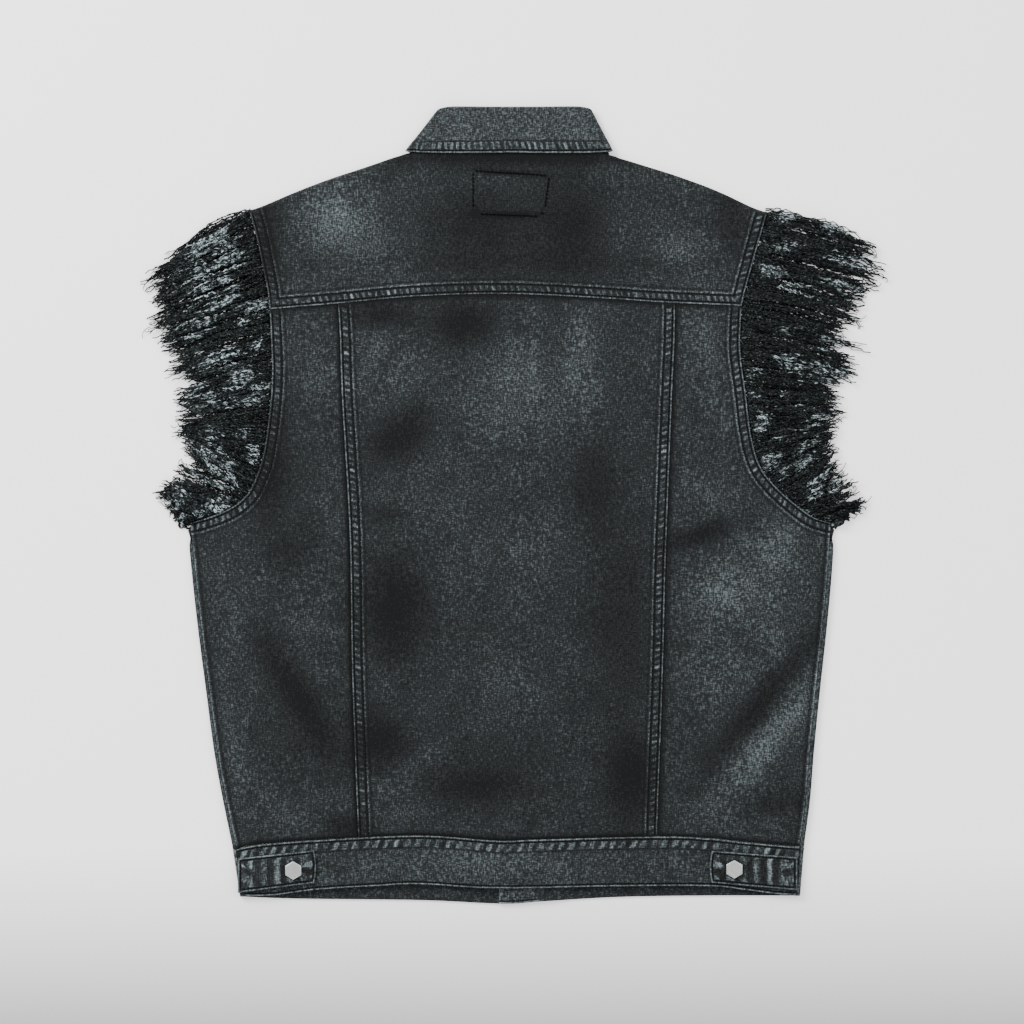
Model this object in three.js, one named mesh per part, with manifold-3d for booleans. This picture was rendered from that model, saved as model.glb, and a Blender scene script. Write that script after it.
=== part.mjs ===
// A sleeveless denim vest lying face down on a flat surface, with fringed armholes.
// Millimetres. +Z is up off the surface, +Y runs to the collar, +X to the right as seen from above.
// The origin is on the surface, under the middle of the vest.
import * as THREE from 'three';
import Module from 'manifold-3d';

const wasm = await Module();
wasm.setup();

// Cloth and sewing sizes
const WALL = 1.2; // one ply of heavy denim
const HALF = WALL / 2;
const SEAM_GAP = 0.3; // between two pieces that are sewn together
const FELL_WIDTH = 10.5; // a folded seam or hem, from its edge to its second row of stitches
const FELL_RISE = 0.9; // how far the extra plies of a folded seam stand up
const STEP = 0.6; // half the width of the slope at the side of a folded seam

// Heights of the middle of each ply
const FLOOR_PLY = HALF; // fronts lie flat on the surface
const BACK_EDGE = 3.8; // back, along its sides
const BACK_CROWN = 1.0; // how far the back rises towards its middle
const PLACKET_CROWN = 1.4; // further rise over the doubled front edges
const PLACKET_RISE_WIDTH = 48;
const HALF_GIRTH = 275; // widest half width, under the arms
const PLY_STEP = WALL + SEAM_GAP; // one ply lying on another
const WAIST_PLY_STEP = WALL + 2 * SEAM_GAP; // the same for the stiffer waistband

// Front closing
const PLACKET = { left: -12.3, right: 26.8, top: 212, fadeIn: 30 };
const CLOSING_X = (PLACKET.left + PLACKET.right) / 2;
const BUTTON = { radius: 8.5, height: 1.5, bevel: 0.5, lift: 1.8, level: 7, tent: 20 };
const BUTTON_ROWS = [-311, -208, -107, -6, 95, 192];
const RAMP = 26; // where the under front climbs onto the over front

// Collar
const FALL = { middle: 3.7, radius: 3.1, ply: 1.5, band: 0.4 };
const COLLAR_LIFT = { y: 262, inner: 134, outer: 166 };

// Edges of the pieces, each a smooth line through a few named places
const NECK_AND_SHOULDERS = [
  { x: -224.8, y: 250.3 }, { x: -211.2, y: 254.8 }, { x: -181.5, y: 267.3 }, { x: -147.5, y: 280.1 },
  { x: -118, y: 290.2 }, { x: -93.9, y: 298 }, { x: -72, y: 300.6 }, { x: -36, y: 301.8 }, { x: 0, y: 302 },
  { x: 36, y: 301.8 }, { x: 68, y: 300 }, { x: 87.1, y: 296 }, { x: 112, y: 288.6 }, { x: 141.5, y: 279.2 },
  { x: 175.5, y: 265.6 }, { x: 201, y: 253.6 }, { x: 215.5, y: 248.6 },
];
const YOKE_SEAM = [
  { x: -207.3, y: 166.2 }, { x: -154.3, y: 170.6 }, { x: -79.5, y: 177.2 }, { x: -3, y: 179 },
  { x: 73.5, y: 175.5 }, { x: 125.4, y: 172.1 }, { x: 193.8, y: 169.2 },
];
const ARMHOLE_LEFT = [
  { x: -277.5, y: -14.9 }, { x: -256.3, y: -8.9 }, { x: -239.3, y: -1.3 }, { x: -226.1, y: 9.8 },
  { x: -218, y: 25.9 }, { x: -212.1, y: 45.5 }, { x: -207, y: 82.9 }, { x: -205.3, y: 107.5 },
  { x: -205.3, y: 123.7 }, { x: -207.2, y: 165.6 },
];
const ARMHOLE_LEFT_YOKE = [
  { x: -207.3, y: 166.2 }, { x: -209.2, y: 183 }, { x: -213.8, y: 206.1 }, { x: -219, y: 230 },
  { x: -224.8, y: 250.3 },
];
const ARMHOLE_RIGHT = [
  { x: 273.3, y: -14.9 }, { x: 255.4, y: -9.8 }, { x: 239.3, y: 1.3 }, { x: 222.3, y: 16.6 },
  { x: 209.1, y: 34.4 }, { x: 201.5, y: 61.6 }, { x: 197.2, y: 96.5 }, { x: 193.4, y: 123.7 },
  { x: 192.5, y: 140 }, { x: 193.7, y: 168.6 },
];
const ARMHOLE_RIGHT_YOKE = [
  { x: 193.8, y: 169.2 }, { x: 197, y: 183 }, { x: 204.4, y: 209.5 }, { x: 211.2, y: 233.3 },
  { x: 215.5, y: 248.6 },
];
const SIDE_LEFT = [
  { x: -238.4, y: -291.5 }, { x: -247.8, y: -246.1 }, { x: -254.6, y: -207.8 }, { x: -261.4, y: -156.8 },
  { x: -268, y: -106 }, { x: -272.5, y: -66 }, { x: -277.5, y: -14.9 },
];
const SIDE_RIGHT = [
  { x: 246.9, y: -288 }, { x: 252, y: -250 }, { x: 255.4, y: -207.8 }, { x: 260.5, y: -156.8 },
  { x: 265.6, y: -110 }, { x: 269.8, y: -66 }, { x: 273.3, y: -14.9 },
];
const PRINCESS_LEFT = [
  { x: -131.5, y: -281.6 }, { x: -132.7, y: -265.6 }, { x: -137.3, y: -138 }, { x: -139.3, y: -24.2 },
  { x: -145.8, y: 91.4 }, { x: -147.5, y: 140.7 }, { x: -149.2, y: 170.5 },
];
const PRINCESS_RIGHT = [
  { x: 122.6, y: -280.2 }, { x: 122.5, y: -265.6 }, { x: 127.1, y: -138 }, { x: 129.4, y: -47.2 },
  { x: 134.7, y: 91.4 }, { x: 136.9, y: 140.7 }, { x: 137.3, y: 171.2 },
];
const WAIST_SEAM = [
  { x: -238.4, y: -292.6 }, { x: -213.8, y: -287.7 }, { x: -157.7, y: -283.5 }, { x: -79.5, y: -280.1 },
  { x: -14.5, y: -284.3 }, { x: 18.3, y: -283.5 }, { x: 122.8, y: -280.9 }, { x: 166.2, y: -282.6 },
  { x: 198.5, y: -286 }, { x: 246.9, y: -290.3 },
];
const HEM_BACK = [
  { x: -232.5, y: -331.6 }, { x: -205, y: -331.2 }, { x: -167, y: -326.4 }, { x: -119.4, y: -323.4 },
  { x: -79.5, y: -321.7 }, { x: -14.5, y: -325.1 }, { x: 90.5, y: -323.4 }, { x: 166.2, y: -323.4 },
  { x: 198.5, y: -326.8 }, { x: 224.8, y: -330.2 }, { x: 243.5, y: -330.9 },
];
const HEM_FRONT = [
  { x: -232.5, y: -332.2 }, { x: -184.9, y: -334 }, { x: -79.5, y: -335.3 }, { x: -9.8, y: -338.3 },
  { x: 25.9, y: -336.2 }, { x: 90.5, y: -332.6 }, { x: 166.2, y: -331.4 }, { x: 243.5, y: -331.5 },
];
const WAIST_END_LEFT = [{ x: -232.5, y: -331.6 }, { x: -236.6, y: -312 }, { x: -238.4, y: -292.6 }];
const WAIST_END_RIGHT = [{ x: 243.5, y: -330.9 }, { x: 246, y: -312 }, { x: 246.9, y: -290.3 }];

// Creases pressed into the back while it was worn and folded: soft ridges and troughs
const CREASES = [
  { x: -232, y: -60, angle: 62, length: 60, width: 13, height: 0.7 },
  { x: -196, y: -150, angle: 70, length: 75, width: 16, height: -0.6 },
  { x: -178, y: 30, angle: 78, length: 70, width: 14, height: 0.5 },
  { x: -215, y: -235, angle: 40, length: 45, width: 12, height: 0.6 },
  { x: -96, y: 60, angle: 50, length: 80, width: 17, height: 0.6 },
  { x: -60, y: -90, angle: 118, length: 90, width: 18, height: -0.5 },
  { x: -20, y: 40, angle: 66, length: 95, width: 16, height: -0.6 },
  { x: 42, y: -30, angle: 112, length: 85, width: 18, height: 0.6 },
  { x: 86, y: 70, angle: 128, length: 70, width: 14, height: 0.5 },
  { x: 70, y: -200, angle: 60, length: 75, width: 18, height: 0.5 },
  { x: -70, y: -215, angle: 130, length: 70, width: 17, height: 0.6 },
  { x: 176, y: 20, angle: 108, length: 75, width: 15, height: 0.6 },
  { x: 214, y: -70, angle: 122, length: 70, width: 14, height: -0.6 },
  { x: 188, y: -170, angle: 58, length: 80, width: 17, height: 0.7 },
  { x: 222, y: -235, angle: 128, length: 45, width: 12, height: 0.5 },
  { x: -130, y: 232, angle: 18, length: 60, width: 16, height: 0.5 },
  { x: 118, y: 226, angle: 160, length: 62, width: 16, height: 0.5 },
];

// Collar, from the middle of the back round the side of the neck to a front tip.
// fold is the turned top, fall the lower edge that shows, seam where the stand meets the neck.
// turn is how far round the side of the neck the place lies: 0 above the back, 180 under the fronts.
const COLLAR_HALF = [
  { turn: 0, foldX: 0, foldY: 337.4, fallX: 0, fallY: 299.6, seamX: 0, seamY: 302.6 },
  { turn: 0, foldX: 20, foldY: 337.4, fallX: 24, fallY: 299.2, seamX: 22, seamY: 302.5 },
  { turn: 0, foldX: 40, foldY: 337.6, fallX: 48, fallY: 299.2, seamX: 44, seamY: 302.4 },
  { turn: 0, foldX: 54, foldY: 337.6, fallX: 68, fallY: 299.4, seamX: 62, seamY: 302.2 },
  { turn: 0, foldX: 61.4, foldY: 336.6, fallX: 84.4, fallY: 300.2, seamX: 76, seamY: 302 },
  { turn: 45, foldX: 61.4, foldY: 336, fallX: 84.4, fallY: 300.6, seamX: 76, seamY: 302 },
  { turn: 90, foldX: 61.4, foldY: 335.4, fallX: 84.4, fallY: 301, seamX: 76, seamY: 302 },
  { turn: 135, foldX: 61.4, foldY: 334.4, fallX: 84.4, fallY: 301.6, seamX: 76, seamY: 302 },
  { turn: 180, foldX: 61.4, foldY: 333, fallX: 84.4, fallY: 301.6, seamX: 76, seamY: 301.6 },
  { turn: 180, foldX: 53, foldY: 313, fallX: 86, fallY: 266, seamX: 68, seamY: 287 },
  { turn: 180, foldX: 40, foldY: 283, fallX: 76, fallY: 230, seamX: 52, seamY: 259 },
  { turn: 180, foldX: 27, foldY: 252, fallX: 64, fallY: 200, seamX: 36, seamY: 234 },
  { turn: 180, foldX: 13, foldY: 229, fallX: 53, fallY: 178, seamX: 20, seamY: 216 },
];
const COLLAR_SPREAD = { left: { sign: -1, top: 1, low: 1.048 }, right: { sign: 1, top: 1.026, low: 0.957 } };
const NECK_SIDE = 78; // where the shoulder seam meets the collar
const NECK_FRONT_Y = 213.5;
const NECK_CLEARANCE = 0.6; // between a front's neck edge and the seam of the collar, in X and in Y
const COLLAR_SIDE_ROW = 8; // last place of COLLAR_HALF that lies at the side of the neck

// Waist tabs, buttoned to the waistband: the end at the side seam is deeper than the pointed end
const TAB = { thickness: 1.8, point: 1.6 };
const TAB_LEFT = {
  sideX: -234, sideTop: -299.4, sideLow: -328.8,
  endX: -169, endTop: -292.4, endLow: -320.4,
};
const TAB_RIGHT = {
  sideX: 241, sideTop: -298.4, sideLow: -326.6,
  endX: 168, endTop: -292.8, endLow: -320.2,
};
const TAB_BUTTONS = [
  { name: 'tab_button_left', x: -186.9, y: -309.6 },
  { name: 'tab_button_right', x: 187.4, y: -308.6 },
];
const TAB_BUTTON = { radius: 7.9, height: 2.2, bevel: 0.6, sides: 6, lift: 0.2 };
const BUTTON_SIDES = 12;

// Fringe: for places along the armhole from the shoulder to the underarm, where the strands end
const FRINGE_LEFT = [
  { along: 0, x: -316, y: 200 }, { along: 0.12, x: -320, y: 181 }, { along: 0.25, x: -316, y: 158 },
  { along: 0.4, x: -310, y: 130 }, { along: 0.52, x: -291, y: 97 }, { along: 0.64, x: -292, y: 65 },
  { along: 0.74, x: -279, y: 43 }, { along: 0.82, x: -308, y: 23 }, { along: 0.9, x: -305, y: 9 },
  { along: 0.96, x: -297, y: -3 }, { along: 1, x: -286, y: -11 },
];
const FRINGE_RIGHT = [
  { along: 0, x: 314, y: 222 }, { along: 0.1, x: 319, y: 199 }, { along: 0.25, x: 304, y: 174 },
  { along: 0.4, x: 299, y: 134 }, { along: 0.5, x: 300, y: 111 }, { along: 0.6, x: 286, y: 88 },
  { along: 0.7, x: 279, y: 56 }, { along: 0.8, x: 279, y: 34 }, { along: 0.87, x: 294, y: 15 },
  { along: 0.93, x: 301, y: 2 }, { along: 1, x: 284, y: -10 },
];
const FRINGE_STRIP = { gap: 0.32, width: 2.6, startTrim: 0.3, endTrim: 0.25 };
const ROOTS = { across: 0.6, first: 0.995, last: 0.01 }; // shares of the strip's width and length
const STRAND_REACH = { least: 0.82, spread: 0.18 }; // shares of the way to the named ends
const FRINGE_LAYERS = {
  back: {
    strands: 48, root: 4, depth: 1.6, heights: [7.6, 4.6], tips: [4.8, 2.9], radius: 1.4, reach: 1, inset: 0,
  },
  front: {
    strands: 26, root: 1.3, depth: 1.4, heights: [1.5, 1.5], tips: [1.1, 1.1], radius: 1, reach: 0.9, inset: 3,
  },
};

const DENIM = { color: 0x3c4447, roughness: 0.92, metalness: 0 };
const DENIM_LIGHT = { color: 0x4a5153, roughness: 0.92, metalness: 0 };
const YARN = { color: 0x181d20, roughness: 0.95, metalness: 0 };
const SATIN_STEEL = { color: 0xb4b4b2, roughness: 0.35, metalness: 1 };

const clamp01 = (value) => Math.min(1, Math.max(0, value));
const ease = (value) => clamp01(value) ** 2 * (3 - 2 * clamp01(value));
const mix = (a, b, share) => a + (b - a) * share;
const point2 = (row) => new THREE.Vector2(row.x, row.y);
const smooth = (rows) => new THREE.SplineCurve(rows.map(point2));
const radians = THREE.MathUtils.degToRad;

// A smooth line through named places, as the height that it has above a place x
function lineThrough(rows, shift = 0) {
  const places = smooth(rows).getPoints(rows.length * 24);
  return (x) => {
    let index = 0;
    while (index < places.length - 2 && places[index + 1].x < x) index += 1;
    const [from, to] = [places[index], places[index + 1]];
    return mix(from.y, to.y, (x - from.x) / (to.x - from.x)) + shift;
  };
}

function creases(x, y) {
  let height = 0;
  for (const fold of CREASES) {
    const angle = radians(fold.angle);
    const along = (x - fold.x) * Math.cos(angle) + (y - fold.y) * Math.sin(angle);
    const across = (y - fold.y) * Math.cos(angle) - (x - fold.x) * Math.sin(angle);
    height += fold.height * Math.exp(-((along / fold.length) ** 2) - (across / fold.width) ** 2);
  }
  return height;
}

// Middle of the back's ply above the surface
function backHeight(x, y) {
  const crown = BACK_CROWN * Math.max(0, 1 - (x / HALF_GIRTH) ** 2);
  const overPlacket = ease((PLACKET.top + PLACKET.fadeIn - y) / PLACKET.fadeIn);
  const closing = PLACKET_CROWN * overPlacket * Math.exp(-(((x - CLOSING_X) / PLACKET_RISE_WIDTH) ** 2));
  return BACK_EDGE + crown + closing + creases(x, y);
}

const collarLift = (x, y) => {
  const reach = Math.hypot(x - CLOSING_X / 2, y - COLLAR_LIFT.y);
  return PLY_STEP * ease((COLLAR_LIFT.outer - reach) / (COLLAR_LIFT.outer - COLLAR_LIFT.inner));
};
const buttonTent = (x, y) => {
  const near = BUTTON_ROWS.map((row) => Math.hypot(x - CLOSING_X, y - row));
  const reach = Math.min(...near) - BUTTON.radius;
  return BUTTON.lift * ease((BUTTON.tent - reach) / (BUTTON.tent - BUTTON.level));
};
const overHeight = (x, y) => FLOOR_PLY + Math.max(collarLift(x, y), buttonTent(x, y));
const frontLeftHeight = (x, y) => FLOOR_PLY + collarLift(x, y);
const frontRightHeight = (x, y) =>
  FLOOR_PLY + collarLift(x, y) + PLY_STEP * ease((PLACKET.right + RAMP - x) / RAMP);
const underHeight = (x, y) => overHeight(x, y) + PLY_STEP;

// A closed wall from a grid of places, each with a point on both faces of the cloth
function wallGeometry(grid) {
  const rows = grid.length;
  const columns = grid[0].length;
  const positions = [];
  for (const face of ['outer', 'inner']) {
    for (const row of grid) {
      for (const place of row) positions.push(place[face].x, place[face].y, place[face].z);
    }
  }
  const inner = rows * columns;
  const at = (row, column) => row * columns + column;
  const index = [];
  const quad = (a, b, c, d) => index.push(a, b, c, a, c, d);
  for (let row = 0; row < rows - 1; row += 1) {
    for (let column = 0; column < columns - 1; column += 1) {
      const [a, b] = [at(row, column), at(row, column + 1)];
      const [c, d] = [at(row + 1, column + 1), at(row + 1, column)];
      quad(a, b, c, d);
      quad(inner + a, inner + d, inner + c, inner + b);
    }
  }
  for (let column = 0; column < columns - 1; column += 1) {
    const [a, b] = [at(0, column), at(0, column + 1)];
    const [c, d] = [at(rows - 1, column), at(rows - 1, column + 1)];
    quad(b, a, inner + a, inner + b);
    quad(c, d, inner + d, inner + c);
  }
  for (let row = 0; row < rows - 1; row += 1) {
    const [a, b] = [at(row, 0), at(row + 1, 0)];
    const [c, d] = [at(row, columns - 1), at(row + 1, columns - 1)];
    quad(a, b, inner + b, inner + a);
    quad(d, c, inner + c, inner + d);
  }
  return facingOut(positions, index);
}

function facingOut(positions, index) {
  let volume = 0;
  const corner = (i) => new THREE.Vector3().fromArray(positions, i * 3);
  for (let i = 0; i < index.length; i += 3) {
    volume += corner(index[i]).dot(corner(index[i + 1]).cross(corner(index[i + 2])));
  }
  const faces = [];
  for (let i = 0; i < index.length; i += 3) {
    const [a, b, c] = index.slice(i, i + 3);
    faces.push(...(volume > 0 ? [a, b, c] : [a, c, b]));
  }
  const geometry = new THREE.BufferGeometry();
  geometry.setAttribute('position', new THREE.Float32BufferAttribute(positions, 3));
  geometry.setIndex(faces);
  return geometry;
}

// Shares of a length: some fixed distances at each end, and even steps between them
function stops(length, startDistances, steps, endDistances) {
  const first = startDistances.at(-1) ?? 0;
  const last = length - (endDistances.at(-1) ?? 0);
  const places = startDistances.slice(0, -1);
  for (let step = 0; step <= steps; step += 1) places.push(mix(first, last, step / steps));
  for (const distance of endDistances.slice(0, -1).reverse()) places.push(length - distance);
  return places.map((place) => place / length);
}

const FELL_STOPS = [0, FELL_WIDTH - STEP, FELL_WIDTH + STEP];
const PLAIN = [0];

// Plan of a piece. Its left and right edges are functions of a share from low to high, and its lower
// and upper edges give a height above any x. Near a folded edge the columns keep their true distance
// from it. A level piece has all its rows drawn between the lower and the upper edge.
function plan({
  left, right, lower, upper, rows, startStops = PLAIN, columns, endStops = PLAIN, level = false,
}) {
  const lefts = rows.map(left);
  const rights = rows.map(right);
  const last = rows.length - 1;
  const inward = (points, row, turn) => {
    if (level) return new THREE.Vector2(turn, 0);
    if (row === 0 || row === last) {
      const edge = row === 0 ? lower : upper;
      const { x } = points[row];
      return new THREE.Vector2(turn, edge(x + turn) - edge(x)).normalize();
    }
    const along = points[row + 1].clone().sub(points[row]).normalize();
    along.add(points[row].clone().sub(points[row - 1]).normalize()).normalize();
    return new THREE.Vector2(along.y * turn, -along.x * turn);
  };
  const chord = (row, x) => {
    const share = clamp01((x - lefts[row].x) / (rights[row].x - lefts[row].x));
    return mix(lefts[row].y, rights[row].y, share);
  };
  const bow = (edge, row, x) => edge(Math.min(rights[row].x, Math.max(lefts[row].x, x))) - chord(row, x);
  return rows.map((share, row) => {
    const fromLeft = inward(lefts, row, 1);
    const fromRight = inward(rights, row, -1);
    const start = startStops.map((d) => lefts[row].clone().addScaledVector(fromLeft, d));
    const end = endStops.map((d) => rights[row].clone().addScaledVector(fromRight, d)).reverse();
    const line = [...start];
    for (let step = 1; step < columns; step += 1) {
      line.push(start.at(-1).clone().lerp(end[0], step / columns));
    }
    line.push(...end);
    return line.map((place, column) => {
      const { x } = place;
      const edge = Math.min(startStops[column] ?? Infinity, endStops[line.length - 1 - column] ?? Infinity);
      let y = place.y + bow(lower, 0, x) * (1 - share) + bow(upper, last, x) * share;
      if (level || row === 0 || row === last) y = mix(lower(x), upper(x), share);
      return { place: new THREE.Vector2(x, y), share, edge };
    });
  });
}

// A flat-lying wall over a plan. raised says how much extra cloth lies on a place.
function lyingWall(grid, height, raised = () => 0) {
  return wallGeometry(grid.map((row) => row.map((cell) => {
    const { x, y } = cell.place;
    const middle = height(x, y);
    const outer = new THREE.Vector3(x, y, middle + HALF + raised(cell));
    return { outer, inner: new THREE.Vector3(x, y, middle - HALF) };
  })));
}

// Share along a smooth edge at which it passes a height y
function shareAtY(curve, y) {
  let [low, high] = [0, 1];
  const rising = curve.getPoint(1).y > curve.getPoint(0).y;
  for (let step = 0; step < 30; step += 1) {
    const middle = (low + high) / 2;
    if ((curve.getPoint(middle).y < y) === rising) low = middle;
    else high = middle;
  }
  return (low + high) / 2;
}

const vest = new THREE.Group();

function add(name, geometry, finish) {
  const mesh = new THREE.Mesh(geometry, new THREE.MeshStandardMaterial(finish));
  mesh.name = name;
  vest.add(mesh);
  return mesh;
}

// Share along an edge from one height to another, as points of a smooth line
function edgeBetween(curve, lowY, highY) {
  return (share) => {
    const y = mix(lowY, highY, share);
    const place = curve.getPoint(shareAtY(curve, y));
    return new THREE.Vector2(place.x, y);
  };
}

const onLine = (line, x) => new THREE.Vector2(x, line(x));

const mirrored = (rows, sign) => rows.map((row) => ({ x: row.x * sign, y: row.y }));
const leftToRight = (rows, sign) => mirrored(rows, sign).sort((a, b) => a.x - b.x);

// The shoulder: near the fold the cloth turns down from the back, or up from the front, to the seam
const SHOULDER_TURNS = [30, 60, 90];
const SHOULDER_DEPTH = 2.2; // from the fold to where the cloth lies level

// The fold begins past the collar, at an uneven distance on the two sides
const SHOULDER_START = { left: 86, right: 80, fadeIn: 10 };

function shoulderWeight(x) {
  const pastCollar = x < 0 ? -x - SHOULDER_START.left : x - SHOULDER_START.right;
  return ease(pastCollar / SHOULDER_START.fadeIn);
}

// Rows that carry a wall over a shoulder fold. way is -1 where it turns down and 1 where it turns up.
function turnedRows(slope, height, way) {
  return SHOULDER_TURNS.map((turn) => slope.map((cell, column) => {
    const ahead = slope[Math.min(column + 1, slope.length - 1)].place;
    const behind = slope[Math.max(column - 1, 0)].place;
    const along = ahead.clone().sub(behind).normalize();
    const out = new THREE.Vector2(-along.y, along.x);
    const { x, y } = cell.place;
    const weight = shoulderWeight(x);
    const middle = height(x, y);
    const radius = (backHeight(x, y) - frontLeftHeight(x, y)) / 2;
    const angle = radians(turn) * weight;
    const flat = SHOULDER_DEPTH * (turn / 90) * (1 - weight);
    const seam = turn === 90 ? (SEAM_GAP / 2) * weight : 0;
    const placed = (skin) => {
      const reach = flat + (radius + skin) * Math.sin(angle);
      const rise = radius - (radius + skin) * Math.cos(angle) - seam;
      return new THREE.Vector3(x + out.x * reach, y + out.y * reach, middle + way * rise);
    };
    return { outer: placed(HALF), inner: placed(-HALF) };
  }));
}

const YOKE_DEPTH = 88; // at the armholes, for the width of its folded seam

// Back yoke: from the yoke seam up to the neck and over to the shoulder folds
function makeYoke() {
  const left = smooth(ARMHOLE_LEFT_YOKE);
  const right = smooth(ARMHOLE_RIGHT_YOKE);
  const grid = plan({
    left: (share) => left.getPoint(share),
    right: (share) => right.getPoint(share),
    lower: lineThrough(YOKE_SEAM, SEAM_GAP),
    upper: lineThrough(NECK_AND_SHOULDERS, -SHOULDER_DEPTH),
    rows: stops(YOKE_DEPTH, FELL_STOPS, 6, PLAIN),
    startStops: FELL_STOPS, columns: 18, endStops: FELL_STOPS, level: true,
  });
  const last = grid.length - 1;
  const cells = grid.map((row, index) => row.map((cell) => {
    const band = cell.edge < FELL_WIDTH || index < 2;
    const rise = band && index < last ? FELL_RISE : 0;
    const { x, y } = cell.place;
    const middle = backHeight(x, y);
    const outer = new THREE.Vector3(x, y, middle + HALF + rise);
    return { outer, inner: new THREE.Vector3(x, y, middle - HALF) };
  }));
  cells.push(...turnedRows(grid[last], backHeight, -1));
  add('yoke_back', wallGeometry(cells), DENIM);
  return { left: grid.map((row) => row[0].place), right: grid.map((row) => row.at(-1).place) };
}

// Middle back panel: its two long edges are folded seams that lie on the side panels
function makeCentre() {
  const left = smooth(PRINCESS_LEFT);
  const right = smooth(PRINCESS_RIGHT);
  const lower = lineThrough(WAIST_SEAM, SEAM_GAP);
  const upper = lineThrough(YOKE_SEAM);
  const grid = plan({
    left: edgeBetween(left, lower(PRINCESS_LEFT[0].x), upper(PRINCESS_LEFT.at(-1).x)),
    right: edgeBetween(right, lower(PRINCESS_RIGHT[0].x), upper(PRINCESS_RIGHT.at(-1).x)),
    lower, upper, rows: stops(1, PLAIN, 17, PLAIN),
    startStops: FELL_STOPS, columns: 11, endStops: FELL_STOPS, level: true,
  });
  const raised = (cell) => (cell.edge < FELL_WIDTH ? FELL_RISE : 0);
  add('back_centre', lyingWall(grid, backHeight, raised), DENIM);
}

// Side back panels, from the side seam and the armhole to the folded seam of the middle panel
const UNDERARM_SHARE = 0.5; // share of a side panel's rows that lie below the arm
const SIDES = {
  left: { sign: 1, side: SIDE_LEFT, armhole: ARMHOLE_LEFT, princess: PRINCESS_LEFT, seamInset: 3.2 },
  right: { sign: -1, side: SIDE_RIGHT, armhole: ARMHOLE_RIGHT, princess: PRINCESS_RIGHT, seamInset: 4 },
};
const PRINCESS_AT_UNDERARM = -58;
const INSET_ENDS = 0.125; // share of the armhole over which the side seam's inset fades out

function sideThenArmhole(side, armhole, atUnderarm) {
  return (share) => {
    if (share <= atUnderarm) return side(share / atUnderarm);
    return armhole((share - atUnderarm) / (1 - atUnderarm));
  };
}

function makeSide(name, { sign, side, armhole, princess, seamInset }) {
  const sideLine = smooth(mirrored(side, sign));
  const armLine = smooth(mirrored(armhole, sign));
  const inner = smooth(mirrored(princess, sign));
  const lower = lineThrough(leftToRight(WAIST_SEAM, sign), SEAM_GAP);
  const upper = lineThrough(leftToRight(YOKE_SEAM, sign));
  const lowY = lower(side[0].x * sign + seamInset);
  const underarm = armhole[0];
  const sideEdge = (share) => {
    const place = edgeBetween(sideLine, lowY, underarm.y)(share);
    return place.add(new THREE.Vector2(seamInset, 0));
  };
  const armEdge = (share) => {
    const place = armLine.getPointAt(share);
    place.x += seamInset * (1 - ease(share / INSET_ENDS));
    if (share === 1) place.y = upper(place.x);
    return place;
  };
  const innerLow = lower(princess[0].x * sign);
  const innerHigh = upper(princess.at(-1).x * sign);
  const innerY = (share) => {
    if (share < UNDERARM_SHARE) return mix(innerLow, PRINCESS_AT_UNDERARM, share / UNDERARM_SHARE);
    return mix(PRINCESS_AT_UNDERARM, innerHigh, (share - UNDERARM_SHARE) / (1 - UNDERARM_SHARE));
  };
  const grid = plan({
    left: sideThenArmhole(sideEdge, armEdge, UNDERARM_SHARE),
    right: (share) => {
      const y = innerY(share);
      return new THREE.Vector2(inner.getPoint(shareAtY(inner, y)).x - SEAM_GAP, y);
    },
    lower, upper, rows: stops(1, PLAIN, 20, PLAIN),
    startStops: FELL_STOPS, columns: 6,
  });
  const raised = (cell) => (cell.edge < FELL_WIDTH && cell.share >= UNDERARM_SHARE ? FELL_RISE : 0);
  grid.flat().forEach((cell) => { cell.place.x *= sign; });
  add(name, lyingWall(grid, backHeight, raised), DENIM);
  return grid.filter((row) => row[0].share >= UNDERARM_SHARE).map((row) => row[0].place);
}

// Places round the fold at a side, from the seam on top to the level cloth beneath
const ROLL = [180, 180, 135, 90, 45, 0];
const ROLL_END = 0.15; // least level cloth past the fold, at the side seam
const ROLL_STOPS = [0, 1.8, 3.6, 5.4, 7.2, 9, 11];
const FRONT_ARMHOLE_INSET = FRINGE_LAYERS.front.inset;

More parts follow.
